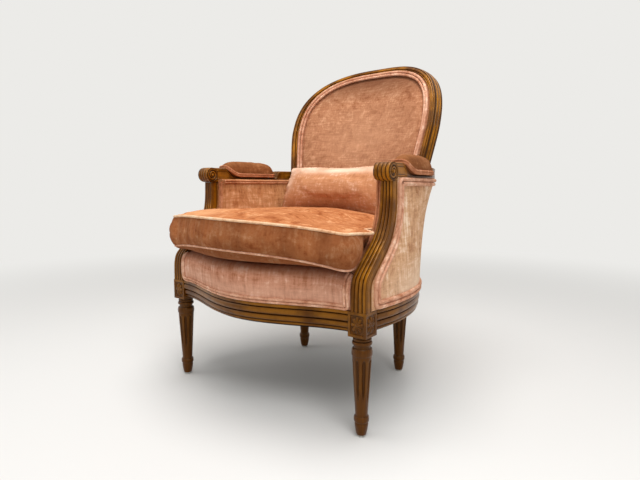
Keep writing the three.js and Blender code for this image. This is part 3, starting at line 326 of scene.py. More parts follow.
class Paint:
    """The nodes of one finish, with a Principled shader whose plain numbers are set on it."""

    def __init__(self, name, **constants):
        self.material = bpy.data.materials.new(name)
        self.material.use_nodes = True
        self.tree = self.material.node_tree
        self.tree.nodes.clear()
        self.shader = self.tree.nodes.new("ShaderNodeBsdfPrincipled")
        output = self.tree.nodes.new("ShaderNodeOutputMaterial")
        self.tree.links.new(self.shader.outputs[0], output.inputs[0])
        for key, value in constants.items():
            self.shader.inputs[key.replace("_", " ")].default_value = value

    def node(self, kind, settings=None, inputs=None, output=0):
        """Adds a node: its settings first, then the values or links of its sockets."""
        made = self.tree.nodes.new(kind)
        for key, value in (settings or {}).items():
            if key == "stops":
                for _ in value[2:]:
                    made.color_ramp.elements.new(0.5)
                for element, (where, colour) in zip(made.color_ramp.elements, value):
                    element.position, element.color = where, (*colour, 1)
            else:
                setattr(made, key, value)
        for key, value in (inputs or {}).items():
            if isinstance(value, Value):
                self.tree.links.new(value.socket, made.inputs[key])
            else:
                made.inputs[key].default_value = value
        return Value(self, made.outputs[output])

    def place(self, scale, uv=False):
        """Object coordinates in metres, or the piece's UVs, stretched."""
        kind, output = ("ShaderNodeUVMap", 0) if uv else ("ShaderNodeTexCoord", 3)
        return self.node("ShaderNodeMapping", inputs={0: self.node(kind, output=output), "Scale": scale})

    def noise(self, scale, detail=3.0, rough=0.55, distortion=0.0, uv=False):
        """Noise on stretched coordinates."""
        return self.node("ShaderNodeTexNoise", inputs={
            "Vector": self.place(scale, uv), "Scale": 1.0, "Detail": detail, "Roughness": rough,
            "Distortion": distortion,
        })

    def blend(self, share, one, other):
        """Colour mix: one where share is 0, other where it is 1."""
        one, other = (end if isinstance(end, Value) else (*end, 1) for end in (one, other))
        return self.node("ShaderNodeMix", {"data_type": "RGBA"}, {0: share, 6: one, 7: other}, output=2)

    def attribute(self, name):
        return self.node("ShaderNodeAttribute", {"attribute_name": name}, output=2)

    def feed(self, socket, value):
        self.tree.links.new(value.socket, self.shader.inputs[socket])

    def bump(self, height, strength, distance, under=None):
        inputs = {"Height": height, "Strength": strength, "Distance": distance}
        if under is not None:
            inputs["Normal"] = under
        return self.node("ShaderNodeBump", inputs=inputs)


def srgb(red, green, blue):
    """A screen colour from 0 to 255 as linear light."""
    c = np.array([red, green, blue]) / 255
    return tuple(float(v) for v in np.where(c <= 0.04045, c / 12.92, ((c + 0.055) / 1.055) ** 2.4))


def carved_wood():
    """Golden walnut stain: grain drawn out along the piece, dark glaze in the grooves that is
    partly real and partly painted shade, crowns paler partly from rubbing and partly from a
    painted highlight, painted shade darkening the lower parts, and a satin coat."""
    paint = Paint("carved_wood", Coat_Weight=0.1, Coat_Roughness=0.08, Specular_IOR_Level=0.3)
    paint.shader.inputs["Specular Tint"].default_value = (1, 0.66, 0.3, 1)
    fine = paint.noise((9, 230, 1), 5.0, 0.66, 0.4, uv=True)
    broad = paint.noise((3, 34, 1), 3.0, 0.5, 1.2, uv=True)
    cloud = paint.noise((14, 14, 14), 3.0, 0.6)
    tone = fine * 0.5 + broad * 0.35 + cloud * 0.15
    stops = ((0.30, srgb(66, 32, 1)), (0.45, srgb(92, 49, 2)), (0.56, srgb(114, 65, 4)),
             (0.70, srgb(142, 86, 12)))
    colour = paint.node("ShaderNodeValToRGB", {"stops": stops}, {0: tone})
    groove = paint.attribute("groove")
    # Crowns turned paler: partly rubbed wear, partly a painted highlight.
    rubbed_and_highlight = (0.0 - groove).between(0.0, 1.0) * cloud.between(0.38, 0.66) * 0.75
    colour = paint.blend(rubbed_and_highlight, colour, srgb(182, 118, 26))
    # Grooves darkened: partly real glaze, partly painted shade.
    glaze_and_shade = groove.between(0.1, 0.9) * 0.8
    colour = paint.blend(glaze_and_shade, colour, srgb(38, 16, 1))
    nicks = paint.noise((260, 260, 260), 2.0).between(0.70, 0.76) * 0.5
    colour = paint.blend(nicks, colour, srgb(60, 30, 6))
    # Painted shade: the wood darkens towards the floor, below about 0.22 to 0.4 m.
    where = paint.node("ShaderNodeTexCoord", output=3)
    height = paint.node("ShaderNodeSeparateXYZ", inputs={0: where}, output=2)
    colour = paint.blend((1 - height.between(0.22, 0.4)) * 0.62, colour, srgb(62, 27, 0))
    paint.feed("Base Color", colour)
    paint.feed("Roughness", 0.24 + fine * 0.16 + glaze_and_shade * 0.25)
    paint.feed("Normal", paint.bump(fine, 0.3, 0.0006))
    return paint.material


def velvet(name, body, pale_tone, deep, along=(60, 60, 60), across=(20, 20, 20), patch=16, calm=1.0):
    """Short worn velvet: a nap that lies this way and that in patches, fine rubbed lines along
    the thread both ways, a pile in the bump, and a shade carried by the piece that paints light
    and shade on it: darker towards its seams and shaded parts as painted shade, and paler where
    that shade falls below 0. The lines' stretches are those of the welts unless they are given."""
    body, pale_tone, deep = srgb(*body), srgb(*pale_tone), srgb(*deep)
    paint = Paint("velvet_" + name, Roughness=0.92, Sheen_Weight=0.12, Sheen_Roughness=0.4,
                  Specular_IOR_Level=0.12)
    paint.shader.inputs["Sheen Tint"].default_value = (*pale_tone, 1)
    patches = paint.noise((patch,) * 3, 6.0, 0.7, 0.9)
    lines = paint.noise(along, 5.0, 0.72, 0.2)
    threads = paint.noise(across, 5.0, 0.72, 0.2)
    pile = paint.noise((850,) * 3, 2.0)
    tone = patches * 0.4 + lines * 0.34 + threads * 0.26
    colour = paint.blend(tone.between(0.5 - 0.11 * calm, 0.51), deep, body)
    colour = paint.blend(tone.between(0.5, 0.5 + 0.11 * calm), colour, pale_tone)
    shade = paint.attribute("groove")
    # Painted shade: above 0 the shade darkens the colour towards a darker copy of the deep tone; below 0
    # it turns it towards the pale tone, as painted highlight on most pieces.
    colour = paint.blend(shade, colour, tuple(v * 0.42 for v in deep))
    colour = paint.blend(0.0 - shade, colour, pale_tone)
    colour = paint.blend((1 - pile.between(0.2, 0.6)) * 0.2, colour, deep)
    paint.feed("Base Color", colour)
    paint.feed("Normal", paint.bump(pile, 0.3, 0.0004, paint.bump(tone, 0.35, 0.0014)))
    return paint.material


def plain_finish(name, one, other, scale, roughness, metallic=0.0):
    """A plain material whose colour wanders between two tones and whose surface is a little
    uneven."""
    paint = Paint(name, Metallic=metallic)
    grain = paint.noise(scale, 4.0, 0.6)
    paint.feed("Base Color", paint.blend(grain.between(0.3, 0.7), srgb(*one), srgb(*other)))
    paint.feed("Roughness", roughness + grain * 0.15)
    paint.feed("Normal", paint.bump(grain, 0.3, 0.0004))
    return paint.material


def woven(name, one, other, pitch, depth):
    """Plain weave on object coordinates: sine(x) times sine(y) gives the crossings, in threads of
    two tones."""
    paint = Paint(name, Roughness=0.9, Specular_IOR_Level=0.2)
    where = paint.place((math.pi / pitch,) * 3)
    x, y = (paint.node("ShaderNodeSeparateXYZ", inputs={0: where}, output=k) for k in (0, 1))
    weave = x.math("SINE", x) * y.math("SINE", y) * 0.5 + 0.5
    fuzz = paint.noise((60, 60, 60), 4.0)
    tone = (weave * 0.6 + fuzz * 0.4).between(0.25, 0.8)
    paint.feed("Base Color", paint.blend(tone, srgb(*one), srgb(*other)))
    paint.feed("Normal", paint.bump(weave, 0.5, depth))
    return paint.material


WOOD = carved_wood()
INNER_WOOD = plain_finish("inner_beech", (196, 160, 116), (172, 134, 90), (14, 90, 14), 0.6)
STEEL = plain_finish("spring_wire", (150, 150, 152), (110, 106, 100), (60, 60, 60), 0.35, 0.9)
GLIDE = plain_finish("grey_glide", (196, 194, 188), (160, 158, 150), (200, 200, 200), 0.45)
JUTE = woven("jute_webbing", (150, 126, 84), (190, 166, 120), 0.0022, 0.0006)
HESSIAN = woven("hessian", (150, 124, 84), (184, 158, 112), 0.0018, 0.0005)
BLACK_CLOTH = woven("black_bottoming", (28, 26, 24), (48, 45, 42), 0.0011, 0.0002)

# Velvets: the nap's own colour, its pale tone where it is worn, which painted highlights also
# reach, its deep tone, a darker copy of which the painted shade uses, then the stretches
CUSHION_VELVET = velvet("cushion", (196, 124, 76), (232, 172, 124), (152, 80, 40),
                        (18, 110, 60), (120, 24, 24), 14)
BACK_VELVET = velvet("back", (176, 120, 86), (208, 156, 120), (140, 84, 54),
                     (24, 24, 240), (200, 200, 22), 30)
OUTSIDE_BACK_VELVET = velvet("outside_back", (196, 142, 108), (222, 176, 144), (164, 108, 76),
                             (24, 24, 200), (200, 200, 16), 30, 1.5)
SIDE_VELVET = velvet("side", (218, 170, 130), (248, 220, 192), (174, 118, 80),
                     (130, 130, 12), (26, 26, 110), 15)
INSIDE_VELVET = velvet("inside_arm", (194, 136, 90), (226, 178, 136), (152, 94, 58),
                       (110, 110, 16), (14, 14, 130))
BORDER_VELVET = velvet("border", (204, 144, 114), (230, 186, 162), (166, 102, 70),
                       (120, 40, 16), (14, 14, 110))
# The pillow's pale tone, near white, is what its painted highlight along the top edge reaches.
PILLOW_VELVET = velvet("pillow", (200, 138, 97), (252, 218, 192), (154, 92, 52),
                       (26, 26, 150), (150, 28, 44), 24, 1.8)
ARM_PAD_VELVET = velvet("arm_pad", (132, 78, 42), (166, 112, 72), (98, 50, 22),
                        (100, 16, 40), (24, 90, 24), 18)
WELT_VELVET = velvet("welt", (214, 160, 130), (242, 204, 176), (176, 112, 80))
PALE_WELT_VELVET = velvet("pale_welt", (238, 196, 156), (250, 220, 186), (206, 146, 104))
INSIDE_WELT_VELVET = velvet("inside_welt", (194, 132, 94), (222, 166, 130), (160, 98, 64))
ARM_WELT_VELVET = velvet("armrest_welt", (182, 118, 82), (216, 160, 124), (144, 84, 52))

# Plan of the seat frame

def front_line(x):
    """y of the front rail's face: a bow of 76 whose share is cosine squared of a quarter turn
    over 300, raised to 0.9, in front of the leg blocks' sunk faces."""
    swell = np.cos(math.pi / 2 * held(np.abs(x) / BOW_HALF_WIDTH)) ** 2
    return 1.8 - BLOCK_SIZE / 2 - BOW * swell ** 0.9


def flared(ahead):
    """Half width of the seat frame at a share of the way from its widest place to the front."""
    return SEAT_HALF_WIDTH - FLARE * ahead ** FLARE_POWER


def plan(s, inset=0):
    """Outer edge of side and back rails on the right, as x and y, moved in along its normal.
    For s from -1 to 0 a flare of 9 with power 1.8; for s from 0 to 1 a quarter of the curve
    (x/345)^2.19 + ((y-100)/378)^2.19 = 1."""
    s = np.asarray(s, float)
    turn = held(s) * math.pi / 2
    power, q = 2 / HORSESHOE_POWER, HORSESHOE_POWER - 1
    ahead = np.clip(-s, 0, None)
    reach = WIDEST_Y - BLOCK_SIZE / 2
    back = s > 0
    x = np.where(back, SEAT_HALF_WIDTH * held(np.cos(turn)) ** power, flared(ahead))
    y = np.where(back, WIDEST_Y + SEAT_BACK_REACH * np.sin(turn) ** power, WIDEST_Y + s * reach)
    nx = np.where(back, (x / SEAT_HALF_WIDTH) ** q / SEAT_HALF_WIDTH, reach)
    ny = np.where(back, (np.clip(y - WIDEST_Y, 0, None) / SEAT_BACK_REACH) ** q / SEAT_BACK_REACH,
                  -FLARE * FLARE_POWER * ahead ** (FLARE_POWER - 1))
    length = np.hypot(nx, ny)
    ny = ny / length * np.where(back, 1, held((s + 1) * 2))
    nx = np.where(back, nx / length, half_round(ny))
    return x - nx * inset, y - ny * inset


DENSE_S = np.linspace(-1, 1, 4001)
DENSE_LENGTH = joined([0], np.cumsum(np.hypot(*(np.diff(c) for c in plan(DENSE_S)))))
REAR_TURN = math.acos((REAR_LEG_X / SEAT_HALF_WIDTH) ** (HORSESHOE_POWER / 2)) / (math.pi / 2)
REAR_LENGTH = float(np.interp(REAR_TURN, DENSE_S, DENSE_LENGTH))


def plan_places(start, end, count):
    """Values of s at even distances along the plan, from one distance to another."""
    return np.interp(np.linspace(start, end, count), DENSE_LENGTH, DENSE_S)


def rail_x(y):
    """Outer x of the seat frame for a y, from the leg block to the back."""
    ahead = held((WIDEST_Y - y) / (WIDEST_Y - BLOCK_SIZE / 2))
    reach = held((y - WIDEST_Y) / SEAT_BACK_REACH)
    behind = SEAT_HALF_WIDTH * (1 - reach ** HORSESHOE_POWER) ** (1 / HORSESHOE_POWER)
    return np.where(y < WIDEST_Y, flared(ahead), behind)


# Back

def back_point(x, w, v):
    """x across, w along the back from arm level, v into it. Below arm level the back is an arc of
    SWEEP_RADIUS that ends upright at the rail; above it leans straight. The sides come forward
    by HOLLOW x^2, and v is measured square to that hollow face."""
    x, w, v = np.broadcast_arrays(np.asarray(x, float), w, v)
    lean = np.where(w < 0, BACK_LEAN + w / SWEEP_RADIUS, BACK_LEAN)
    y = np.where(w < 0, SWEEP_RADIUS * (math.cos(BACK_LEAN) - np.cos(lean)), w * np.sin(lean))
    z = np.where(w < 0, SWEEP_RADIUS * (np.sin(lean) - math.sin(BACK_LEAN)), w * np.cos(lean))
    slope = 2 * HOLLOW * x
    depth = v / np.hypot(1, slope)
    y = BACK_FRONT + y + depth * np.cos(lean) - HOLLOW * x ** 2
    return xyz(x + depth * slope, y, ARM_LEVEL + z - depth * np.sin(lean))


def back_along(z):
    """Distance along the back for a height below arm level."""
    lean = np.arcsin(math.sin(BACK_LEAN) - (ARM_LEVEL - z) / SWEEP_RADIUS)
    return SWEEP_RADIUS * (lean - BACK_LEAN)


def stile_x(w):
    """Inner edge of the stile: 244 - 0.163 d^2 / (d + 40), where d is the distance below the
    arch's spring."""
    d = np.clip(ARCH_SPRING - w, 0, None)
    return ARCH_HALF_WIDTH - STILE_WAIST * d * d / (d + 40)


STILE_CORNER = back_point(stile_x(0) + FRAME_WIDTH, 0, FRAME_DEPTH)
ARM_REAR_Y = STILE_CORNER[1] - 1
PAD_REAR_Y = ARM_REAR_Y - 84.3


def arch_point(t, offset):
    """Inner edge of the arch from right to left for t from 0 to 1, a curve of power 2.6, moved
    out along its normal."""
    c, s = np.cos(math.pi * t), held(np.sin(math.pi * t))
    x, w = signed_power(c, 2 / ARCH_POWER), s ** (2 / ARCH_POWER)
    nx = signed_power(x, ARCH_POWER - 1) / ARCH_HALF_WIDTH
    nw = w ** (ARCH_POWER - 1) / ARCH_RISE
    length = np.hypot(nx, nw)
    return (ARCH_HALF_WIDTH * x + offset * nx / length,
            ARCH_SPRING + ARCH_RISE * w + offset * nw / length)


def back_outline(low, inset, count):
    """The opening of the back frame as x and w at even distances: up the right stile, over the
    arch, down the left one."""
    w = np.linspace(low, ARCH_SPRING, 60)[:-1]
    rise = np.stack([stile_x(w) - inset, w], 1)
    arch = np.stack(arch_point(np.linspace(0, 1, 400), -inset), 1)
    down = rise[::-1] * [-1, 1]
    return even(joined(rise, arch, down), count)


# Carved wood

def beads(t, floor, spans):
    """Depth of a moulding along t: the floor of a groove, and over each span (start, end, edge,
    crown, power) the edge's depth raised to the crown's by (1 - |2u - 1|^p)^(1/p). Also how
    deep in a groove each place lies, from -1 on a crown to 1."""
    depth, groove = np.full_like(t, floor), np.ones_like(t)
    for start, end, edge, crown, power in spans:
        u = held((t - start) / (end - start))
        rise = held(1 - np.abs(2 * u - 1) ** power) ** (1 / power)
        inside = (t >= start) & (t <= end)
        depth = np.where(inside, edge + (crown - edge) * rise, depth)
        groove = np.where(inside, 1 - 2 * rise ** 0.8, groove)
    return depth, groove


RAIL_SPANS = (
    (0, 0.17, 0.3, -0.08, 4), (0.205, 0.53, 0.4, -0.12, 2), (0.575, 0.84, 0.6, 0.16, 2),
    (0.875, 1, 1.0, 0.62, 3),
)


def rail_section(thickness):
    """Seat rail section from the top of the outer face round to the top of the inner one."""
    t = np.linspace(0, 1, 84)
    depth, groove = beads(t, 0.85, RAIL_SPANS)
    d = joined(depth * RAIL_MOULD, [thickness, thickness])
    z = RAIL_TOP - RAIL_HEIGHT * joined(t, [1, 0])
    return d, z, joined(groove, [0.3, 0.3])


def front_rail():
    d, z, groove = rail_section(RAIL_THICKNESS)
    end = FRONT_LEG_X - BLOCK_SIZE / 2 - JOINT_GAP
    x = np.linspace(-end, end, 150)[:, None]
    return Form(xyz(x, front_line(x) + d, z), groove)


def curved_rail(start, end, side, thickness=RAIL_THICKNESS, count=130):
    """Seat rail section carried along the plan between two distances, on one side or, for side 0,
    on to its mirror image across the middle of the back."""
    d, z, groove = rail_section(thickness)
    x, y = plan(plan_places(start, end, count)[:, None], d)
    if side:
        return Form(xyz(side * x, y, z), groove)
    return Form(xyz(joined(x, -x[-2::-1]), joined(y, y[-2::-1]), z), groove)


# Turned leg in shares of its height and radius: start, end, radius at both, swell, groove
TURNING = (
    (0.022, 0.13, 0.47, 0.66, 0.03, 0), (0.13, 0.15, 0.67, 0.64, 0, 0.35),
    (0.15, 0.212, 0.66, 0.66, 0.085, -1), (0.212, 0.222, 0.64, 0.61, 0, 0.5),
    (0.222, 0.79, 0.605, 0.935, 0, 0), (0.79, 0.808, 0.935, 0.94, 0, 0),
    (0.808, 0.884, 0.94, 0.92, 0.085, -1), (0.884, 0.89, 0.88, 0.82, 0, 0.8),
    (0.89, 0.918, 0.8, 0.83, -0.02, 0.3), (0.918, 0.952, 0.89, 0.89, 0.09, -1),
    (0.952, 0.96, 0.82, 0.82, 0, 1), (0.96, 0.982, 0.86, 0.86, 0.05, -1),
    (0.982, 1, 0.83, 0.83, 0, 0.7),
)
FLUTES = 8
FLUTE_DEPTH = 3.6
FLUTE_LOW, FLUTE_HIGH = 0.325 * BLOCK_BOTTOM, 0.778 * BLOCK_BOTTOM


def turned_leg(x, y, top):
    """Turned leg: each stretch's radius goes evenly from one end to the other plus a half round
    swell; eight flutes of elliptical section, round at the top and running out below."""
    share, radius, groove = [], [], []
    for start, end, low, high, swell, tone in TURNING:
        u = np.linspace(0, 1, 70 if end - start > 0.3 else 14)
        rise = half_round(2 * u - 1)
        share.append(mix(start, end, u))
        radius.append(mix(low, high, u) + swell * rise)
        groove.append(np.broadcast_to(tone if tone >= 0 else 1 - 2 * rise, u.shape))
    share, radius, groove = (joined(*part) for part in (share, radius, groove))
    z = share * BLOCK_BOTTOM
    z = np.where(share > 0.8, top - (1 - share) * BLOCK_BOTTOM, z)[:, None]
    radius = (radius * BLOCK_SIZE / 2)[:, None]
    turns = full_turn(144)
    period = 2 * math.pi / FLUTES
    away = np.abs((turns / period + 0.5) % 1 - 0.5) * period
    ending = held(1 - (FLUTE_HIGH - z) / 7)
    above = z - FLUTE_LOW
    across = away / (period * 0.25 * mix(0.6, 1, smooth(above / 60)))
    hollow = np.sqrt(held(1 - across ** 2 - ending ** 2)) * (above > 0) * (z < FLUTE_HIGH)
    hollow = hollow * smooth(above / 34)
    r = radius - FLUTE_DEPTH * hollow
    # Fillets between the flutes made paler, partly rubbed and partly painted highlight; the flutes
    # darker, partly glaze and partly painted shade.
    ridge = smooth(above / 50) * smooth((FLUTE_HIGH + 6 - z) / 12) * (1 - smooth(hollow / 0.3))
    tone = np.maximum(groove[:, None], hollow * 1.25) - 0.45 * ridge
    return Form(xyz(x + r * np.cos(turns), y + r * np.sin(turns), z), np.clip(tone, -1, 1))


PANEL_SUNK = 2.4


def rosette(a, b):
    """Height of a block's carved face at a across and b up, in millimetres from its middle: a
    raised border, a sunk panel, eight creased petals on a stretched circle, leaves in the
    corners and a round boss."""
    wide, tall = BLOCK_SIZE / 2 - 6.5, (BLOCK_TOP - BLOCK_BOTTOM) / 2 - 6.5
    edge = np.maximum(np.abs(a) - wide, np.abs(b) - tall)
    height = mix(-PANEL_SUNK, 0, smooth(edge / 1.6 + 0.5))
    groove = 1 - 2 * smooth(edge / 1.6 + 0.4)
    p, q = a / 15.4, b / 19.0
    r, turn = np.hypot(p, q), np.arctan2(q, p)
    petal = np.abs(np.cos(4 * turn)) ** 0.7
    reach = 0.62 + 0.38 * petal
    body = half_round((r - 0.58 * reach) / (0.44 * reach)) * mix(0.35, 1, petal)
    crease = bell(np.abs(np.sin(4 * turn)) / 0.22) * bell((r - 0.6) / 0.22)
    carved = 3.0 * body - 1.1 * crease * body
    boss = 3.2 * half_round(np.hypot(a, b) / 4.4)
    corner = held(1 - (np.hypot(np.abs(a) - wide, np.abs(b) - tall) / 7.5)) ** 0.5 * 1.3
    carved = np.maximum(np.maximum(carved, boss), corner * (edge < 0))
    height = np.maximum(height, -PANEL_SUNK + carved * smooth(-edge / 1.2))
    # The tone: darker between the petals round the middle, partly glaze and partly painted shadow; paler
    # over the carving, partly rubbed and partly painted highlight.
    between = bell((petal - 0.1) / 0.3) * bell((r - 0.62) / 0.3)
    sunk = 0.5 + 0.8 * between
    carved_tone = sunk - (sunk + 0.9) * smooth(carved / PANEL_SUNK) * (1 - 0.8 * between)
    return height, np.where(edge < -0.5, carved_tone, groove)


def leg_block(side):
    """Square block over the front leg, carved on the front and on the outer face."""
    half = BLOCK_SIZE / 2
    z = np.linspace(BLOCK_BOTTOM, BLOCK_TOP, 96)[:, None]
    a = np.linspace(-half, half, 80, endpoint=False)
    ease = 0.8 * (1 - smooth((half - np.abs(a)) / 1.2))
    height, groove = rosette(a, z - (BLOCK_BOTTOM + BLOCK_TOP) / 2)
    plain = 0 * height
    faces = (
        (FRONT_LEG_X + a, -half - height + ease, groove),
        (FRONT_LEG_X + half + height - ease, a, groove),
        (FRONT_LEG_X - a, half + plain, plain), (FRONT_LEG_X - half + plain, -a, plain),
    )
    x, y, tone = (beside(*(np.broadcast_to(face[k], height.shape) for face in faces))
                  for k in range(3))
    return Form(xyz(side * x, y, z + 0 * x), tone)


FRAME_SPANS = (
    (0, 0.25, 0.17, 0.035, 2.2), (0.275, 0.74, 0.13, 0, 2.2), (0.765, 0.935, 0.2, 0.085, 2),
)


def frame_section():
    """Section of the back frame as shares of its width from the inner edge and of its depth:
    three beads in front, a cove to the outer side, a bead on that side, a plain back."""
    u = np.linspace(0, 0.94, 76)
    v, groove = beads(u, 0.2, FRAME_SPANS)
    t = np.linspace(0, 1, 26)
    side, side_groove = beads(t, 0.08, ((0.12, 0.5, 0.07, 0.0, 2), (0.56, 0.86, 0.06, 0.0, 2)))
    u = joined(u, 1 - side, [0.9, 0.5, 0.1, 0, 0])
    v = joined(v, mix(0.26, 0.9, t), [0.97, 1, 1, 0.92, 0.5])
    return u, v, joined(groove, side_groove, [0, 0, 0, 0, 0])


def stile(side):
    u, v, groove = frame_section()
    w = np.linspace(STILE_FOOT + JOINT_GAP, ARCH_SPRING - JOINT_GAP, 120)[:, None]
    return Form(back_point(side * (stile_x(w) + u * FRAME_WIDTH), w, v * FRAME_DEPTH), groove)


def crest():
    """Crest: the same section over the arch."""
    u, v, groove = frame_section()
    t = np.linspace(0, 1, 1500)
    x, w = arch_point(t, 0)
    along = joined([0], np.cumsum(np.hypot(np.diff(x), np.diff(w))))
    t = np.interp(np.linspace(0, along[-1], 240), along, t)[:, None]
    x, w = arch_point(t, u * FRAME_WIDTH * mix(1, 0.98, np.sin(math.pi * t)))
    return Form(back_point(x, w, v * FRAME_DEPTH), groove)


# Arm supports
SUPPORT_SHARES = np.array([
    (0, 0), (0.11, 0), (0.19, 0.012), (0.264, 0.066), (0.33, 0.21), (0.4, 0.392), (0.472, 0.582),
    (0.545, 0.75), (0.62, 0.86), (0.7, 0.94), (0.778, 0.978), (0.87, 0.995), (1, 1),
])
SUPPORT_FOOT, SUPPORT_TOP = BLOCK_TOP + JOINT_GAP, SCROLL_Z - SCROLL_RADIUS - JOINT_GAP
SUPPORT_LINE = np.stack([mix(-23, SCROLL_Y, SUPPORT_SHARES[:, 1]),
                         mix(SUPPORT_FOOT, SUPPORT_TOP, SUPPORT_SHARES[:, 0])], 1)
SUPPORT_PATH = even(spline(SUPPORT_LINE, 400), 110)
SUPPORT_AHEAD = unit(np.gradient(SUPPORT_PATH, axis=0))
SUPPORT_AHEAD[[0, -1]] = [0, 1]


def support_place(offset):
    """The support's front line moved back square to itself, as y and z."""
    offset = np.asarray(offset, float)
    return (SUPPORT_PATH[:, None, 0] + offset * SUPPORT_AHEAD[:, None, 1],
            SUPPORT_PATH[:, None, 1] - offset * SUPPORT_AHEAD[:, None, 0])


def support_y(z, offset):
    """y of that line at a height."""
    y, height = support_place([offset])
    return np.interp(z, height[:, 0], y[:, 0])


def support_span(z):
    """Centre and half width of the support at a height: it narrows and leans in going up."""
    rise = (z - SUPPORT_FOOT) / (SUPPORT_TOP - SUPPORT_FOOT)
    half = mix(21.2, 16.5, rise)
    return mix(ARM_OUTER, ARM_TOP_OUTER, rise) - half, half


def reeds(share):
    """Four reeds over a width: depth in shares of the reeds' depth, and groove."""
    spans = ((0.25 * k + 0.018, 0.25 * k + 0.232, 0.9, 0.0, 2.2) for k in range(4))
    return beads(share, 1.15, spans)


def arm_support(side):
    share = np.linspace(0, 1, 88)
    depth, groove = reeds(share)
    t = np.linspace(0.08, 1, 24)
    side_spans = ((0.08, 0.27, 0.7, 0.0, 2), (0.31, 0.8, 0.3, 0.25, 6), (0.84, 1, 0.7, 0.0, 2))
    sunk, side_groove = beads(t, 0.9, side_spans)
    inward = t * SUPPORT_DEPTH
    across = joined(1 - 2 * share, -1 + 0 * t, [-1, -1, 1, 1], 1 + 0 * t)
    drawn = joined(0 * share, sunk, [8, 8, -8, -8], -sunk[::-1])
    d = joined(3.0 * depth, inward, [SUPPORT_DEPTH, 40, 40, SUPPORT_DEPTH], inward[::-1])
    tone = joined(groove, side_groove, [0] * 4, side_groove[::-1])
    y, z = support_place(d)
    y[0], y[-1] = SUPPORT_PATH[0, 0] + d, SUPPORT_PATH[-1, 0] + d
    z[0], z[-1] = SUPPORT_FOOT, SUPPORT_TOP
    centre, half = support_span(z)
    return Form(xyz(side * (centre + half * across + drawn), y, z), tone)


# Arms

def arm_reach(y):
    return (y - SCROLL_Y) / (ARM_REAR_Y - SCROLL_Y)


def arm_edge(y):
    """Outer edge of the arm in plan: it closes in by about 46 with the cube of the way back."""
    end = STILE_CORNER[0] + 3.6 + ARM_HALF_WIDTH + 2
    return ARM_TOP_OUTER - (ARM_TOP_OUTER - end) * np.clip(arm_reach(y), 0, None) ** 3


def arm_half(y):
    return ARM_HALF_WIDTH + 2 * held(arm_reach(y))


def arm_centre(y):
    return arm_edge(y) - arm_half(y)


def arm_top(y):
    """Top of the arm: level with the scroll, then a dip 1 - (1 - s)^2.4 under the pad, eased up
    behind it."""
    down = 1 - held(1 - (y - PAD_FRONT_Y) / 58) ** 2.4
    up = smooth((y - PAD_REAR_Y - 12) / 20)
    down = np.where(y < PAD_FRONT_Y, 0, down)
    return mix(mix(SCROLL_Z + SCROLL_RADIUS, 616.7, up), ARM_SEAT_Z, down * (1 - up))


def arm_body(side):
    """Arm behind the scroll: reeded across the top until the pad, flat sides with a bead along
    the lower edge."""
    y = np.linspace(SCROLL_Y, ARM_REAR_Y, 130)[:, None]
    top, half, centre = arm_top(y), arm_half(y), arm_centre(y)
    bottom = np.where(y < SCROLL_Y + SUPPORT_DEPTH, SCROLL_Z - SCROLL_RADIUS, ARM_LEDGE_Z)
    across = np.linspace(-1, 1, 72)
    depth, groove = reeds((across + 1) / 2)
    fade = np.where(y > PAD_FRONT_Y + 12, 0.35, 1)
    crown_z = top - REED_DEPTH * depth * fade - 2.2 * np.abs(across) ** 5
    t = np.linspace(0, 1, 26)
    side_spans = ((0, 0.18, 0.8, -0.2, 2), (0.21, 0.8, 0.6, 0.5, 8), (0.83, 1.1, 0.7, -0.1, 2))
    sunk, side_groove = beads(t, 1, side_spans)
    side_z = mix(bottom, top - 5, t)
    x = beside(centre - half + sunk, centre + half * across, centre + half - sunk[::-1])
    tone = joined(side_groove, groove, side_groove[::-1])
    return Form(xyz(side * x, y, beside(side_z, crown_z, side_z[:, ::-1])), tone)


def volute(r, turn):
    """Carved end of the scroll: a band that winds two turns from the eye to the rim, with a
    narrow groove between its turns, and a raised eye."""
    wound = (r - 5.0) / VOLUTE_PITCH - turn / (2 * math.pi)
    away = np.abs((wound + 0.5) % 1 - 0.5) * VOLUTE_PITCH
    cut = bell(away / 1.8) * smooth((r - 4.2) / 1.5) * smooth((20 - r) / 2.5)
    ring = bell((r - 5.2) / 0.9)
    height = 2.0 * half_round(r / 4.6) - 3.0 * cut - 1.6 * ring
    return height, np.clip(2.4 * np.maximum(cut, 0.8 * ring) - 0.6, -0.6, 1.3)


def arm_scroll(side):
    """The roll at the arm's front: its section runs from one eye over the four reeds to the
    other eye, and is turned about the roll's axis."""
    turns = full_turn(120)
    r = np.linspace(0.3, SCROLL_RADIUS - 0.8, 46)
    share = np.linspace(0, 1, 80)
    depth, groove = reeds(share)
    eased = 0.6 * (1 - smooth(np.minimum(share, 1 - share) / 0.04))
    roll = SCROLL_RADIUS - REED_DEPTH * depth - eased
    height, tone = volute(r[:, None], side * turns)
    other, other_tone = volute(r[::-1, None], -side * turns)
    half = ARM_HALF_WIDTH + VOLUTE_FACE
    x = joined(half + height, mix(half, -half, share)[:, None] + 0 * turns, -half - other)
    radius = joined(r, roll, r[::-1])[:, None]
    tone = joined(tone, groove[:, None] + 0 * turns, other_tone)
    y, z = SCROLL_Y + radius * np.sin(turns), SCROLL_Z + radius * np.cos(turns)
    return Form(xyz(side * (ARM_TOP_OUTER - ARM_HALF_WIDTH + x), y, z), tone)


def carved(name, node, *forms):
    """A piece of carved wood in place of its node."""
    build(name, forms, WOOD, replaces=[node])


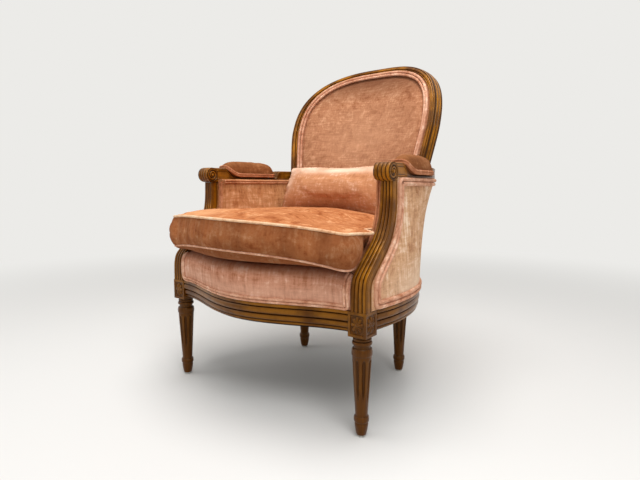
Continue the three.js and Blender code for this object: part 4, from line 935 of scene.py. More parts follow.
for name, side in SIDES:
    carved("carved_front_leg_" + name, "front_leg_" + name,
           turned_leg(side * FRONT_LEG_X, 0, BLOCK_BOTTOM), leg_block(side))
    carved("carved_rear_leg_" + name, "rear_leg_" + name,
           turned_leg(side * REAR_LEG_X, REAR_LEG_Y, RAIL_TOP - RAIL_HEIGHT),
           curved_rail(REAR_LENGTH - REAR_BLOCK_HALF, REAR_LENGTH + REAR_BLOCK_HALF, side,
                       RAIL_THICKNESS + 7, 30),
           stile(side))
    carved("moulded_side_rail_" + name, "side_rail_" + name,
           curved_rail(JOINT_GAP, REAR_LENGTH - REAR_JOINT, side))
    carved("reeded_support_" + name, "arm_support_" + name, arm_support(side))
    carved("carved_arm_" + name, "arm_" + name, arm_body(side), arm_scroll(side))
carved("moulded_front_rail", "front_rail", front_rail())
carved("moulded_back_rail", "back_rail",
       curved_rail(REAR_LENGTH + REAR_JOINT, DENSE_LENGTH[-1], 0, count=60))
carved("moulded_crest", "back_crest_rail", crest())

# Upholstery

def stile_inner(z):
    return stile_x(back_along(z))


def panel_share(z):
    """Share of the way from the rail's top to the panels' top."""
    return held((z - RAIL_TOP) / (PANEL_TOP - RAIL_TOP))


def side_inner(y, z):
    """Inner face of the padded side: evenly from 77 inside the rail's edge at the seat to 38
    inside the middle of the arm."""
    return mix(rail_x(y) - 77, arm_centre(y) - 38.3, panel_share(z))


def side_outer(y, z):
    """Outer face of the side: from the rail's edge to the arm's by the 1.7th power of the height."""
    return mix(rail_x(y) - 1.8, arm_edge(y), panel_share(z) ** 1.7)


def soften(path, width, closed=False):
    """The path averaged over a window of so many points, which rounds its corners."""
    window = np.hanning(width + 2)[1:-1]
    window /= window.sum()
    pad = width // 2
    if closed:
        wide = joined(path[-pad:], path, path[:pad])
    else:
        wide = joined(2 * path[:1] - path[pad:0:-1], path, 2 * path[-1:] - path[-2:-pad - 2:-1])
    return np.stack([np.convolve(wide[:, k], window, "valid") for k in range(path.shape[1])], 1)


def rim(grid, edges, count=400, width=9):
    """A path on a grid of points through the given stretches (rows, columns), with the outward
    direction there, evened and with rounded corners."""
    normal = unit(np.cross(np.gradient(grid, axis=0), np.gradient(grid, axis=1)))
    path, up = (joined(*(field[stretch] for stretch in edges)) for field in (grid, normal))
    both = soften(even(beside(path, up * 0.01), count), width)
    return both[:, :3], unit(both[:, 3:])


def panel_of(side, face, back, z):
    """A panel between a face and a back in plan at every height, and its face on the right."""
    ring = beside(face, back[:, ::-1])
    return xyz(side * ring[..., 0], ring[..., 1], z), xyz(face[..., 0], face[..., 1], z)


def outer_side(side):
    """Outside cover of the arm: plan curves from the support to the stile at every height,
    puffed between their edges; a raised double welt runs under the arm, down the support's edge
    and along the rail."""
    high, wide = 110, 120
    z = np.linspace(COVER_FOOT, PANEL_TOP, high)[:, None]
    front = support_y(z, SUPPORT_DEPTH) + JOINT_GAP
    corner = back_point(stile_inner(z) + FRAME_WIDTH, back_along(z), FRAME_DEPTH)
    outer, rear = corner[..., 0] + JOINT_GAP, corner[..., 1] - 4
    y = mix(front, rear, np.array([0, 0.22, 0.44, 0.64, 0.8, 0.92]))
    x = np.maximum(side_outer(y, z), outer + 4)
    centre, half = support_span(z[:, 0])
    x[:, 0] = centre + half - JOINT_GAP
    path = spline(np.stack([beside(x, outer + JOINT_GAP), beside(y, rear)], -1), wide, axis=1)
    ahead = unit(np.gradient(path, axis=1))
    out = np.stack([ahead[..., 1], -ahead[..., 0]], -1)
    u, h = np.linspace(0, 1, wide), np.linspace(0, 1, high)[:, None]
    swell = (1 - np.abs(2 * u - 1) ** 14) * (1 - np.abs(2 * h - 1) ** 12)
    wave = noise(path[..., 1] / 60, z / 190, seed=4) * 0.5
    wave = wave + noise(path[..., 1] / 24, z / 300, seed=5) * 0.25
    face = path + out * ((2.2 + wave) * swell)[..., None]
    panel, skin = panel_of(side, face, path - out * 5.5, z)
    edge = np.minimum(np.minimum(u * 3.4, (1 - u) * 3), np.minimum(h * 2.6, (1 - h) * 2.6)) / 0.14
    # Painted shade darkens the cover towards its edges; painted light makes it paler low down in the
    # middle.
    shade = 0.34 * bell(edge) - 0.7 * smooth((0.42 - h) / 0.4) * bell((u - 0.45) / 0.3)
    rise, run = np.arange(4, high - 4), np.arange(4, wide - 9)
    path, up = rim(skin, [(np.full_like(run, high - 5), run[::-1]), (rise[::-1], np.full_like(rise, 4)),
                          (np.full_like(run, 4), run)])
    up *= np.sign(up[:, :1] + 0.01)
    flip = np.array([side, 1, 1])
    return panel, beside(shade, 0 * shade), double_welt((path + up * 1.8) * flip, up * flip, 4.9)


def inner_side(side):
    """Inside panel of the arm: padded between support, arm and stile, rolled over along its top;
    a double welt stands on its front edge and another runs along its top."""
    high, wide = 90, 110
    z = np.linspace(PANEL_FOOT, PANEL_TOP, high)[:, None]
    front = support_y(z, SUPPORT_DEPTH) + JOINT_GAP
    inner = stile_inner(z)
    rear = back_point(inner + 13.5, back_along(z), 0)[..., 1] - 0.9
    y = mix(front, rear, np.array([0, 0.24, 0.48, 0.7, 0.86]))
    height = (z - PANEL_FOOT) / (PANEL_TOP - PANEL_FOOT)
    swell = 4 * (1 - (2 * height - 1) ** 4)
    x = np.maximum(side_inner(y, z), inner + 4) - swell * [0, 1, 1, 1, 1]
    path = spline(np.stack([beside(x, inner + 4), beside(y, rear)], -1), wide, axis=1)
    u = np.linspace(0, 1, wide)
    roll = 5 * (1 - half_round(held((z - 577) / 10)))
    wave = noise(path[..., 1] / 55, z / 60, seed=8) * 0.8 * (1 - np.abs(2 * u - 1) ** 8)
    face = path + np.stack([roll + wave, 0 * path[..., 1]], -1)
    thick = np.where(u > 0.985, 9.5, 28 - 18.5 * smooth((u - 0.8) / 0.185))
    limit = arm_centre(path[..., 1]) - arm_half(path[..., 1]) + 7.5
    back_x = np.maximum(np.minimum(path[..., 0] + thick, limit), path[..., 0] + 6)
    panel, skin = panel_of(side, face, np.stack([back_x, path[..., 1]], -1), z)
    # Painted shade: darker along the front edge and in a band under the roll at the top.
    shade = 0.1 * bell(u / 0.07) + 0.3 * bell((height - 0.93) / 0.05) + 0 * u
    flip = np.array([side, 1, 1])
    last, run = high - 4, np.arange(2, wide - 5)
    top, _ = rim(skin, [(np.full_like(run, last), run)], width=5)
    top_welt = double_welt(top * flip + [-1.2 * side, 0, 0], (-side, 0, 0.15), 2.9)
    edge = xyz(face[:, 0, 0] + 8.5, face[:, 0, 1] - 0.6, z[:, 0])
    rise = soften(edge[:last + 1], 5)
    return panel, beside(shade, 0 * shade), top_welt + double_welt(rise * flip, (0.0, -1, 0.1), 3.4)


def arm_pad(side):
    """Arm pad: along it the half width and the height follow (1 - |2t - 1|^7)^(1/2.4) between
    blunt rounded ends, across it a dome of powers 2.4 and 2.1, over the eased top of the arm; a
    double welt rings its foot and dips with the arm."""
    t = mix((1 - np.cos(np.linspace(0, math.pi, 100))) / 2, np.linspace(0, 1, 100), 0.35)[:, None]
    y = mix(PAD_FRONT_Y + 3, PAD_REAR_Y + 9, t)
    full = (1 - np.abs(2 * t - 1) ** 7) ** (1 / 2.4)
    wide = 27.5 * mix(0.3, 1, full)
    foot = arm_top(y) + 0.4
    tall = (ARM_SEAT_Z + 51 - 3 * t - foot) * full + 0.6
    turn = np.linspace(0, math.pi, 64)
    across = signed_power(np.cos(turn), 2 / 2.4)
    lift = np.abs(np.sin(turn)) ** (2 / 2.1)
    below = np.zeros((100, 20))
    x = beside(wide * across, wide * np.linspace(-0.98, 0.98, 20))
    z = beside(foot + tall * lift, foot + below)
    z += beside(noise(y / 30, across * 2, seed=11) * 0.9 * lift * full, below)
    # Painted shade darker on the pad's low flanks; painted highlight paler over its top.
    shade = beside(0.5 * bell(lift / 0.32) - 0.35 * lift ** 3 + 0 * full, below)
    outer, inner = (beside(arm_centre(y) + way * (wide + 0.6), y, foot + 3.4) for way in (1, -1))
    loop = soften(even(joined(outer, inner[::-1]) * [side, 1, 1], 300, True), 11, True)
    welt = [tube(loop + [0, 0, raised], 3.3, (0, 0, 1), True) for raised in (-0.2, 5.4)]
    return xyz(side * (arm_centre(y) + x), y, z), shade, welt


def crown_share(share):
    return held(1 - share ** 6) ** 0.6


def back_face(shares, depths, low):
    """Rings of a panel in the back's opening: the outline drawn in to each share of itself about
    its middle, each at its own depth."""
    outline = back_outline(low, 0.6, 260)
    foot = np.linspace(-1, 1, 60)[1:-1, None] * [outline[0, 0], 0] + [0, low]
    outline = even(joined(outline, foot), 320, True)
    middle = (low + ARCH_SPRING + ARCH_RISE) / 2
    x, w = outline[:, 0] * shares[:, None], mix(middle, outline[:, 1], shares[:, None])
    return x, w, depths[:, None] + 0 * x


def back_welt(low, inset, depth, beyond, toward, radius):
    """Double welt round the opening of the back; its upward direction leads from one depth to
    another."""
    path = back_outline(low, inset, 420).T
    up = unit(back_point(*path, beyond) - back_point(*path, toward))
    return double_welt(back_point(*path, depth), up, radius)


def inside_back():
    """Padded back: crown 27 times (1 - share^6)^0.6, a little uneven, and a double welt round it
    inside the frame."""
    low = back_along(350)
    front = joined([1], 1 - np.linspace(0.004, 1, 70) ** 1.6 * 0.985)
    behind = np.array([0.03, 0.5, 0.97, 1])
    depth = joined(behind * 0 + 12, -27 * crown_share(held(front / 0.915)))
    x, w, v = back_face(joined(behind, front), depth, low)
    wave = noise(x / 70, w / 60, seed=21) * 1.3 + noise(x / 200, w / 22, seed=22) * 0.35
    v[4:] -= wave[4:] * crown_share(front)[:, None]
    height = w / (ARCH_SPRING + ARCH_RISE)
    # Painted shade darker towards the top of the back; painted highlight paler low in the middle.
    shade = 0.95 * smooth((height - 0.6) / 0.4) - 0.5 * bell((height - 0.32) / 0.28, x / 190)
    return back_point(x, w, v), shade, back_welt(low, 10.2, -3.2, -10, 0, 4.2)


def outside_back():
    """Cover of the back behind: nearly flat in the frame, with a double welt round it."""
    low = STILE_FOOT + 1.5
    share = np.array([1, 0.995, 0.97, 0.9, 0.75, 0.5, 0.25, 0.03])
    puffed = 34.2 + 2.0 * (1 - share ** 8)
    x, w, v = back_face(joined(share[::-1], share), joined(27 + 0 * share, puffed), low)
    return back_point(x, w, v), 0 * x, back_welt(low + 6, 5, 36.0, 45, 35, 2.9)


def front_border():
    """Stuffed border over the front rail: a bulging face on the rail's bow, rounded over at its
    top and dropped at its ends; a double welt along its foot and up both ends."""
    end = 293.2
    x = np.linspace(-end, end, 210)[:, None]
    line = front_line(x)
    top = 386 - 16 * (np.abs(x) / end) ** 10
    low = 292.4
    face_y = beside(line + [2.5, -2, -4.5, -1.5, 8], np.minimum(line + 24, -3.0))
    face_z = beside(mix(low, top, np.array([0, 0.2, 0.5, 0.8, 0.95])), top)
    face = spline(np.stack([face_y, face_z], -1), 64, axis=1)
    face[..., 0] += 3 * bell((end - np.abs(x)) / 5)
    face[..., 0] += (noise(x / 26, face[..., 1] / 90, seed=31) * 0.5
                     + noise(x / 9, face[..., 1] / 40, seed=32) * 0.2)
    behind, foot = 0 * x + 1, np.minimum(line + 36, 0.7)
    y = beside(face[..., 0], behind, behind, foot, foot)
    z = beside(face[..., 1], top, 0 * x + PANEL_FOOT, 0 * x + PANEL_FOOT, 0 * x + low)
    height = (face[..., 1] - low) / 92
    # Painted shade: darker along the top strip, under the cushion's overhang; paler a third of the way
    # up.
    shade = 0.75 * smooth((height - 0.62) / 0.35) - 0.35 * bell((height - 0.3) / 0.2)
    skin = xyz(x, face[..., 0], face[..., 1])
    rise, run = np.arange(5, 56), np.arange(3, 207)
    edges = [(np.full_like(rise, run[0]), rise[::-1]), (run, np.full_like(run, rise[0])),
             (np.full_like(rise, run[-1]), rise)]
    path, up = rim(skin, edges, count=560, width=13)
    up *= -np.sign(up[:, 1:2] + 0.01)
    return xyz(x, y, z), beside(shade, np.zeros((210, 4))), double_welt(path + up * 0.9, up, 3.5)


def seat_room(z, inset, front_y):
    """Half plan of the room between the padded sides and in front of the padded back."""
    w = back_along(z)
    edge = stile_x(w)
    x = np.linspace(edge - inset - 4, 0, 60)
    pad = back_point(x, w, -BACK_CROWN * (1 - (x / edge) ** 4))
    y = np.linspace(front_y, pad[0, 1] - inset - 6 - 28, 40)
    flank = np.stack([side_inner(y, z) - 4 - inset, y], 1)
    return joined(flank, pad[:, :2] - [0, inset + 6])


def mirrored(half):
    """A half outline on the right and its mirror image, as one closed loop."""
    other = half[::-1] * [-1, 1]
    return joined(half, other[np.abs(other[:, 0]) > 0.3])


def seat_deck():
    """Stuffed deck: the plan of the room, drawn in underneath and over its rounded top."""
    outline = even(mirrored(seat_room(PANEL_FOOT, 0.6, 1.4)), 240, True)
    share = np.array([0.02, 0.5, 0.86, 0.93, 1, 1, 0.995, 0.97, 0.9, 0.8, 0.4, 0.02])[:, None]
    z = np.array([338.3, 338.3, 338.3, 342, 354.8, 370, 380, 386, 387.7, 388, 388, 388])[:, None]
    return xyz(outline[:, 0] * share, mix((1 + REAR_LEG_Y) / 2, outline[:, 1], share), z)


def pad_piece(name, points, shade, finish, node, body="root"):
    """A padded piece in place of its node, with the shade that its velvet reads."""
    forms = [Form(points, shade)]
    piece = build(name, forms, finish, body=body, crease=50, replaces=[node])
    return piece


def cover(name, made, finish, node, welt_name, welt_finish=WELT_VELVET):
    """A padded piece and its welts from what made them: points, shade and welts."""
    points, shade, welts = made
    pad_piece(name, points, shade, finish, node)
    build(welt_name, welts, welt_finish)


for name, side in SIDES:
    cover("outside_cover_" + name, outer_side(side), SIDE_VELVET, "outside_arm_panel_" + name,
          "outside_welt_" + name)
    cover("inside_cover_" + name, inner_side(side), INSIDE_VELVET, "inside_arm_panel_" + name,
          "inside_welt_" + name, INSIDE_WELT_VELVET)
    cover("padded_armrest_" + name, arm_pad(side), ARM_PAD_VELVET, "arm_pad_" + name,
          "armrest_welt_" + name, ARM_WELT_VELVET)
cover("padded_back", inside_back(), BACK_VELVET, "inside_back_pad", "back_welt")
cover("outside_back_cover", outside_back(), OUTSIDE_BACK_VELVET, "outside_back_panel",
      "outside_back_welt")
cover("stuffed_front_border", front_border(), BORDER_VELVET, "front_border", "border_welt")
pad_piece("sprung_seat_deck", seat_deck(), 0, INSIDE_VELVET, "seat_deck")


# Loose cushions

def rounded(x, y, radius, start, end):
    """Arc of a corner between two turns, in quarter turns."""
    turn = np.linspace(start, end, 14) * math.pi / 2
    return np.stack([x + radius * np.cos(turn), y + radius * np.sin(turn)], 1)


def in_front(y):
    """1 in front of the front legs' middle, eased to 0 at 60 behind it."""
    return smooth((60 - y) / 60)


def cushion_outline(level):
    """Plan of the seat cushion at a level: the rail's bow drawn forward, soft ears before the arm
    supports, the right one slipped a little further out, and the room between the padded
    sides."""
    x = np.linspace(0, 286, 90)
    bow = np.stack([x, front_line(np.minimum(x * 0.94, 300)) - 30], 1)
    front = bow[-1, 1] + 4
    ear_rear = support_y(level, 0) - 7
    room = seat_room(CUSHION_FOOT, 3, ear_rear + 16)
    neck = room[0, 0]
    room[:, 0] = np.minimum(room[:, 0], neck)
    ear = joined(rounded(309 - 24, front + 20, 24, -1, 0),
                 [[306, ear_rear - 26], [302, ear_rear - 12]],
                 rounded(300 - 8, ear_rear - 8, 8, 0, 1))
    half = joined(bow, ear, [[neck + 0.5, ear_rear + 6]], room)
    loop = soften(even(mirrored(half), 400, True), 9, True)
    ahead = in_front(loop[:, 1])
    loop[:, 0] *= np.where(loop[:, 0] < 0, 1 + 0.03 * ahead, 1)
    loop[:, 1] -= 13 * (loop[:, 0] / 300) ** 3 * ahead
    return loop


def seam_levels(points):
    """Heights of the lower and the upper seam at a place in plan: over the middle of the front
    both stand 10 higher than at the back, at the ears they droop, more so on the right."""
    a = np.clip(points[..., 0] / 300, -1.05, 1.05)
    rear = smooth((points[..., 1] + 60) / 200)
    upper = mix(488 - 7 * a - 15 * a ** 2, 474 - 5 * a - 14 * a ** 4, rear)
    lower = mix(416 - 24 * a ** 2 - 3 * a, 405 - 8 * a ** 4, rear)
    return lower, upper


def plateau(outline):
    """Rounded plan that the cushion's crown runs into, 36 inside the outline in front and at the
    back: a closed curve of power 2.6."""
    step = np.linalg.norm(outline - np.roll(outline, 1, 0), axis=1)
    turn = (np.cumsum(step) - step[0]) / step.sum() * 2 * math.pi
    front, rear = outline[0, 1] + 36, outline[:, 1].max() - 36
    x, y = signed_power(np.sin(turn), 2 / 2.6), signed_power(np.cos(turn), 2 / 2.6)
    return np.stack([(310 - 36) * x, (front + rear) / 2 - (rear - front) / 2 * y], 1)


def edge_distance(x, y, outline):
    """Distance of every point to the nearest point of the outline."""
    points = np.stack([x.ravel(), y.ravel()], 1)
    far = np.min(np.linalg.norm(points[:, None] - outline[None, ::2], axis=2), axis=1)
    return far.reshape(x.shape)


UNDER_SHARES = np.array([0.02, 0.2, 0.4, 0.6, 0.75, 0.86, 0.92, 0.96, 0.985])
SEAM = UNDER_SHARES.size
CROWN = SEAM + 13


def seat_cushion():
    """Seat cushion: an underside that rounds up to the lower seam, a boxing that bulges by 9, and
    above the upper seam a crown that covers 1 - exp(-(d/52)^0.85) of the way up to the top at a
    distance d from the edge; the top sinks by 30 towards the right. Its rows: the underside up
    to SEAM, the boxing up to CROWN, then the crown."""
    below, outline = cushion_outline(400), cushion_outline(466)
    flat = plateau(outline)
    middle = np.array([0, (flat[:, 1].max() + flat[:, 1].min()) / 2])
    under, boxing = UNDER_SHARES, np.linspace(0, 1, CROWN - SEAM)
    crown = 1 - np.linspace(0, 1, 40)[1:] ** 1.7 * 0.98
    full = 0 * boxing + 1
    share = joined(under, full, crown)[:, None, None]
    hold = joined(0 * under + 1, full, crown ** 6)[:, None, None]
    climb = joined(0 * under, boxing, 0 * crown + 1)[:, None, None]
    base = mix(flat, mix(below, outline, climb), hold)
    centre = mix(middle, np.array([0, support_y(407, 0) - 9]), hold)
    spot = centre + share * (base - centre)
    x, y = spot[..., 0].copy(), spot[..., 1].copy()
    lower, upper = seam_levels(spot)
    far = joined(edge_distance(x[:SEAM], y[:SEAM], below),
                 edge_distance(x[SEAM:], y[SEAM:], outline))
    rest = CUSHION_FOOT - 7 * np.abs(np.clip(x / 305, -1, 1)) ** 8 * in_front(y)
    z = mix(lower, rest, 1 - np.exp(-((far / 9) ** 1.1)))
    side = slice(SEAM, CROWN)
    z[side] = mix(lower[side], upper[side], boxing[:, None])
    out = np.roll(outline, -1, 0) - np.roll(outline, 1, 0)
    out = unit(np.stack([out[:, 1], -out[:, 0]], 1))
    out *= np.sign(np.sum(out * (outline - middle), axis=1).sum())
    free = smooth((support_y(407, 0) - outline[:, 1]) / 40)
    round_out = np.sin(math.pi * boxing)[:, None]
    swell = 9 * np.sin(math.pi * boxing ** 0.8)[:, None] * free
    at_ears = smooth((np.abs(outline[:, 0]) - 250) / 40)
    swell += 6.5 * np.sin(math.pi * boxing ** 1.2)[:, None] * at_ears * free
    crease = noise(outline[:, 0] / 26, boxing[:, None] * 2, seed=43) * 1.1 * round_out * free
    x[side] += out[:, 0] * (swell + crease)
    y[side] += out[:, 1] * (swell + crease)
    top_x, top_y = x[CROWN:], y[CROWN:]
    ear = smooth((top_x - 255) / 30) * smooth((-top_y - 180) / 40)
    sunk = 30 * smooth((top_x - 20) / 200) * (1 - ear)
    top = 501.5 + noise(top_x / 90, top_y / 90, seed=41) * 1.6 - sunk
    top = np.maximum(top, upper[CROWN:] + 5)
    z[CROWN:] = mix(upper[CROWN:], top, 1 - np.exp(-((far[CROWN:] / 52) ** 0.85)))
    # Painted shade darkens the underside and the boxing, the boxing less where it bulges out; the top is
    # a touch darker with a paler patch on the left.
    shade = np.full_like(x, 0.75)
    shade[side] = 0.68 - 0.16 * round_out + noise(outline[:, 0] / 60, outline[:, 1] / 60) * 0.14
    shade[CROWN:] = 0.06 - 0.7 * bell((top_x + 190) / 90, (top_y + 40) / 60)
    seams = [beside(spot[row], z[row][:, None]) for row in (SEAM, CROWN - 1)]
    return xyz(x, y, z), shade, seams


PILLOW_ROWS = 44


def lumbar_pillow():
    """Lumbar pillow: knife-edged, leaning on the padded back; thickness 52 (1 - |a|^3)^0.7 along
    it and (1 - b^2)^0.6 across it, its upper corners drawn in, small puckers along its seam."""
    centre_z = 551
    w = back_along(centre_z)
    half = stile_x(w) - 13.6
    lean = BACK_LEAN + w / SWEEP_RADIUS
    middle_y = back_point(0, w, -BACK_CROWN - 10 - PILLOW_THICKNESS)[1]
    a = np.sin(np.linspace(-1, 1, 110) * math.pi / 2)[:, None]
    b = np.sin(np.linspace(-1, 1, PILLOW_ROWS) * math.pi / 2)
    across = joined(b, b[-2:0:-1])
    side = joined(0 * b + 1, 0 * b[-2:0:-1] - 1)
    thick = PILLOW_THICKNESS * held(1 - np.abs(a) ** 3) ** 0.7 + 0.4
    h = across * (78 * mix(0.955, 1, np.abs(a) ** 4) * mix(1, 0.97, np.abs(a) ** 30))
    rim_near = np.maximum(np.abs(a) ** 10, np.abs(across) ** 6)
    pucker = noise(a * 22, across * 9, seed=51) * 3.2 * rim_near * (1 - np.abs(across) ** 30)
    v = side * (thick * held(1 - across ** 2) ** 0.6 + pucker * (1 - rim_near ** 3))
    ragged = noise(across * 5, 0 * a, seed=52) * 3.0 * np.abs(a) ** 12
    x = -12 + a * (half - 4 - 9 * across) + ragged * np.sign(a)
    y = middle_y - 0.5 * HOLLOW * x ** 2 + h * math.sin(lean) + v * math.cos(lean)
    z = centre_z + h * math.cos(lean) - v * math.sin(lean)
    # Painted highlight paler along the top edge in front and at the left end; painted shadow darker
    # towards the bottom.
    pale_tone = bell((across - 0.86) / 0.16) * (side < 0) * (0.7 + 0.5 * noise(a * 6, across, seed=53))
    dark = 0.5 * smooth((-across - 0.25) / 0.75)
    return xyz(x, y, z), dark - 0.95 * pale_tone - 0.5 * bell((a + 0.93) / 0.08, (across - 0.3) / 0.4)


AIR_FRAMES = 12


def inflate(piece, pinned, growth, cap):
    """Fills a sewn cover with air: cloth with pressure and without weight, a little larger than
    its seams allow, its seam points pinned; every point may move by the cap at most. The result
    goes back into the mesh."""
    group = piece.vertex_groups.new(name="seam")
    group.add([int(k) for k in np.flatnonzero(pinned)], 1.0, "REPLACE")
    cloth = piece.modifiers.new("air", "CLOTH")
    cloth.settings.effector_weights.gravity = 0
    air = {"use_pressure": True, "uniform_pressure_force": 2.0, "vertex_group_mass": "seam",
           "shrink_min": -growth, "quality": 4, "tension_stiffness": 25, "compression_stiffness": 25,
           "bending_stiffness": 0.4}
    for key, value in air.items():
        setattr(cloth.settings, key, value)
    cloth.point_cache.frame_start, cloth.point_cache.frame_end = 1, AIR_FRAMES
    for number in range(1, AIR_FRAMES + 1):
        bpy.context.scene.frame_set(number)
    evaluated = piece.evaluated_get(bpy.context.evaluated_depsgraph_get())
    start, moved = (np.empty(len(piece.data.vertices) * 3) for _ in range(2))
    piece.data.vertices.foreach_get("co", start)
    evaluated.data.vertices.foreach_get("co", moved)
    step = (moved - start).reshape(-1, 3)
    length = np.linalg.norm(step, axis=1, keepdims=True)
    limit = cap * MILLIMETRE
    step *= np.tanh(length / limit) * limit / np.maximum(length, 1e-9)
    piece.modifiers.remove(cloth)
    piece.vertex_groups.remove(group)
    bpy.context.scene.frame_set(1)
    piece.data.vertices.foreach_set("co", start + step.ravel())
    piece.data.update()


points, shade, seams = seat_cushion()
pinned = np.zeros(shade.shape, bool)
pinned[:SEAM - 1] = pinned[SEAM] = pinned[CROWN - 1] = True
cushion = pad_piece("velvet_seat_cushion", points, shade, CUSHION_VELVET, "seat_cushion",
                    "seat_cushion_body")
inflate(cushion, pinned, 0.03, 4)
for name, seam, radius, finish in (("cushion_upper_welt", seams[1], 3.4, PALE_WELT_VELVET),
                                   ("cushion_lower_welt", seams[0], 3.0, WELT_VELVET)):
    build(name, [tube(seam, radius, (0, 0, 1), True)], finish, body="seat_cushion_body")
points, shade = lumbar_pillow()
pillow = pad_piece("velvet_lumbar_pillow", points, shade, PILLOW_VELVET, "lumbar_pillow",
                   "lumbar_pillow_body")
pinned = np.zeros(shade.shape, bool)
pinned[:2] = pinned[-2:] = pinned[:, 0] = pinned[:, PILLOW_ROWS - 1] = True
inflate(pillow, pinned, 0.06, 5)


# Suspension and covers below

STRIP_HALF_WIDTH = 25
STRIP_HALF_THICKNESS = 0.55


def strap(node, name):
    """A jute strip that follows its carried node: the node's box gives its ends and width, and
    the strip weaves over and under its neighbours in gentle waves; the front end of a lengthwise
    one follows the rail's bow."""
    low, high = (np.array(corner) / MILLIMETRE - [0, SHIFT_Y, 0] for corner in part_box(node))
    lengthwise = "lengthwise" in node
    along = int(lengthwise)
    crossing = (REAR_LEG_Y - 118.5 - 60) / 2 if lengthwise else 130
    first = 60 if lengthwise else -130
    side = np.array([-1, -0.5, 0, 0.5, 1, 1, 0.5, 0, -0.5, -1])
    across = (low[1 - along] + high[1 - along]) / 2 + STRIP_HALF_WIDTH * side
    start = np.maximum(low[along], front_line(across) + 18) if lengthwise else low[along]
    reach = mix(start, high[along], np.linspace(0, 1, 160)[:, None])
    over = 1 if int(node[-1]) % 2 == along else -1
    wave = np.cos((reach - first) / crossing * math.pi) * over
    inside = (reach > first - 40) & (reach < first + 2 * crossing + 40)
    z = (low[2] + high[2]) / 2 + 0.72 * np.where(inside, wave, 0)
    z = z + STRIP_HALF_THICKNESS * np.array([-1] * 5 + [1] * 5)
    points = xyz(across, reach, z) if lengthwise else xyz(reach, across, z)
    strip = build(name, [Form(points)], JUTE, replaces=[node])


for number in (1, 2, 3):
    for way in ("lengthwise", "crosswise"):
        strap("webbing_%s_%d" % (way, number), "jute_strip_%s_%d" % (way, number))


WELL_POINTS = 300


def well(inset):
    """Plan of the well inside the rails, kept clear of the legs' blocks."""
    clear = max(inset, 0)
    x = np.linspace(0, FRONT_LEG_X - BLOCK_SIZE / 2 - 4 - clear, 60)
    front = np.stack([x, front_line(x) + RAIL_THICKNESS + inset], 1)
    s = np.linspace((clear + 8) / (WIDEST_Y - BLOCK_SIZE / 2) - 1, 1, 140)
    near = bell((s - REAR_TURN) / 0.1)
    around = np.stack(plan(s, RAIL_THICKNESS + inset + near * 19), 1)
    return even(mirrored(joined(front, around)), WELL_POINTS, True)


def spring_cover():
    """Hessian over the springs: tacked to the rails, up a slope and flat over the springs."""
    steps = ((-6, 293.2), (0, 294.6), (12, 313), (26, 333), (32, 337.4), (40, 338), (120, 338))
    rings = [beside(well(inset), np.full((WELL_POINTS, 1), z)) for inset, z in steps]
    centre = np.array([0, 190.0, 338])
    rings += [mix(centre, rings[-1], share) for share in (0.5, 0.02)]
    inner = [mix(centre, ring, 0.995) - [0, 0, 1.1] for ring in rings[::-1]]
    forms = [Form(np.stack(rings + inner), loop=True)]
    sheet = build("hessian_spring_cover", forms, HESSIAN, replaces=["spring_cover"])


def dust_cover():
    """Black cloth tacked under the rails, cut round the legs."""
    x = np.linspace(0, 285, 60)
    front = np.stack([x, front_line(x) + 15], 1)
    s = np.linspace(-0.92, 1, 400)
    away = np.interp(s, DENSE_S, DENSE_LENGTH) - REAR_LENGTH
    cut = 24.5
    notch = 20.45 + np.sqrt(np.clip(cut ** 2 - away ** 2, 0, None))
    around = np.stack(plan(s, np.where(np.abs(away) < cut, notch, 15)), 1)
    outline = even(mirrored(joined(front, [(285, 27.0)], around)), 700, True)
    share = np.array([0.01, 0.5, 1, 1, 0.5, 0.01])[:, None]
    z = np.array([240.1] * 3 + [241.0] * 3)[:, None]
    points = xyz(outline[:, 0] * share, mix(200, outline[:, 1], share), z)
    sheet = build("black_dust_cover", [Form(points)], BLACK_CLOTH, replaces=["dust_cover"])


spring_cover()
dust_cover()

# Carried-over pieces and the stage
FINISHES = {
    "inner_wood": INNER_WOOD, "spring_steel": STEEL, "glide": GLIDE, "carved_wood": WOOD,
    "jute_webbing": JUTE, "black_cloth": BLACK_CLOTH, "velvet": SIDE_VELVET,
}
for part in frame["record"]["subparts"]:
    node = frame["nodes"][part["node"]]
    node.data.materials.clear()
    node.data.materials.append(FINISHES[part["material_slot"]])


GLOW = (*srgb(236, 235, 232), 1)


def pale_ground():
    """Pale ground: a matt surface that keeps the object's shadow; for the camera it fades into
    the backdrop's own colour with the distance."""
    paint = Paint("pale_floor", Roughness=1.0, Specular_IOR_Level=0.0)
    paint.shader.inputs["Base Color"].default_value = (0.80, 0.79, 0.77, 1)
    where = paint.node("ShaderNodeTexCoord", output=3)
    length = paint.node("ShaderNodeVectorMath", {"operation": "LENGTH"}, {0: where}, output=1)
    camera, glossy, through = (paint.node("ShaderNodeLightPath", output=index) for index in (0, 3, 6))
    far = length.between(0.9, 3.2) * (camera + glossy + through)
    light = paint.node("ShaderNodeEmission", inputs={"Color": GLOW, "Strength": 1.0})
    surface = Value(paint, paint.shader.outputs[0])
    mixed = paint.node("ShaderNodeMixShader", inputs={0: far, 1: surface, 2: light})
    output = next(n for n in paint.tree.nodes if n.type == "OUTPUT_MATERIAL")
    paint.tree.links.new(mixed.socket, output.inputs[0])
    return paint.material


ground = bpy.data.meshes.new("floor")
ground.from_pydata([(-40, -40, 0), (40, -40, 0), (40, 40, 0), (-40, 40, 0)], [], [[0, 1, 2, 3]])
ground.materials.append(pale_ground())
floor = bpy.data.objects.new("floor", ground)
bpy.context.scene.collection.objects.link(floor)

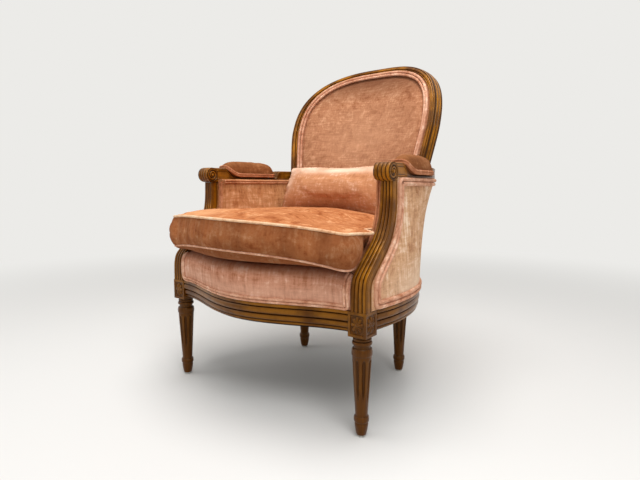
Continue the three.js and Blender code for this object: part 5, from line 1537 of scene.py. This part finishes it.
# World: soft light for the object, the backdrop's colour for what looks straight at it
world = bpy.data.worlds.new("studio")
bpy.context.scene.world = world
world.use_nodes = True
nodes, links = world.node_tree.nodes, world.node_tree.links
nodes.clear()
soft, seen = nodes.new("ShaderNodeBackground"), nodes.new("ShaderNodeBackground")
for node, colour, strength in ((soft, (1, 0.99, 0.97, 1), 0.42), (seen, GLOW, 1.0)):
    node.inputs["Color"].default_value, node.inputs["Strength"].default_value = colour, strength
rays, choice = nodes.new("ShaderNodeLightPath"), nodes.new("ShaderNodeMixShader")
reflected, direct = nodes.new("ShaderNodeMath"), nodes.new("ShaderNodeMath")
reflected.use_clamp = direct.use_clamp = True
for start, end in (
    (rays.outputs["Is Glossy Ray"], reflected.inputs[0]),
    (rays.outputs["Is Transmission Ray"], reflected.inputs[1]),
    (rays.outputs["Is Camera Ray"], direct.inputs[0]), (reflected.outputs[0], direct.inputs[1]),
    (direct.outputs[0], choice.inputs[0]), (soft.outputs[0], choice.inputs[1]),
    (seen.outputs[0], choice.inputs[2]),
    (choice.outputs[0], nodes.new("ShaderNodeOutputWorld").inputs[0]),
):
    links.new(start, end)


def lamp(name, where, target, size, power):
    data = bpy.data.lights.new(name, "AREA")
    data.shape, data.size, data.energy = "DISK", size, power
    light = bpy.data.objects.new(name, data)
    light.location = where
    light.rotation_euler = (Vector(target) - Vector(where)).to_track_quat("-Z", "Y").to_euler()
    bpy.context.scene.collection.objects.link(light)


lamp("key", (1.5, -1.3, 2.7), (0, 0, 0.45), 1.7, 42)
lamp("fill", (-2.4, -1.8, 1.9), (0, 0, 0.5), 2.4, 16)
lamp("top", (0.1, -0.2, 3.0), (0, 0, 0.4), 1.6, 44)

camera_data = bpy.data.cameras.new("camera")
camera_data.lens, camera_data.sensor_width = 27.70, 36
camera = bpy.data.objects.new("camera", camera_data)
camera.location = place((886.78, -905.51, 567.43))
camera.rotation_euler = Vector((-0.60397, 0.78939, -0.10994)).to_track_quat("-Z", "Y").to_euler()
bpy.context.scene.collection.objects.link(camera)
bpy.context.scene.camera = camera
bpy.context.scene.view_settings.view_transform = "Standard"
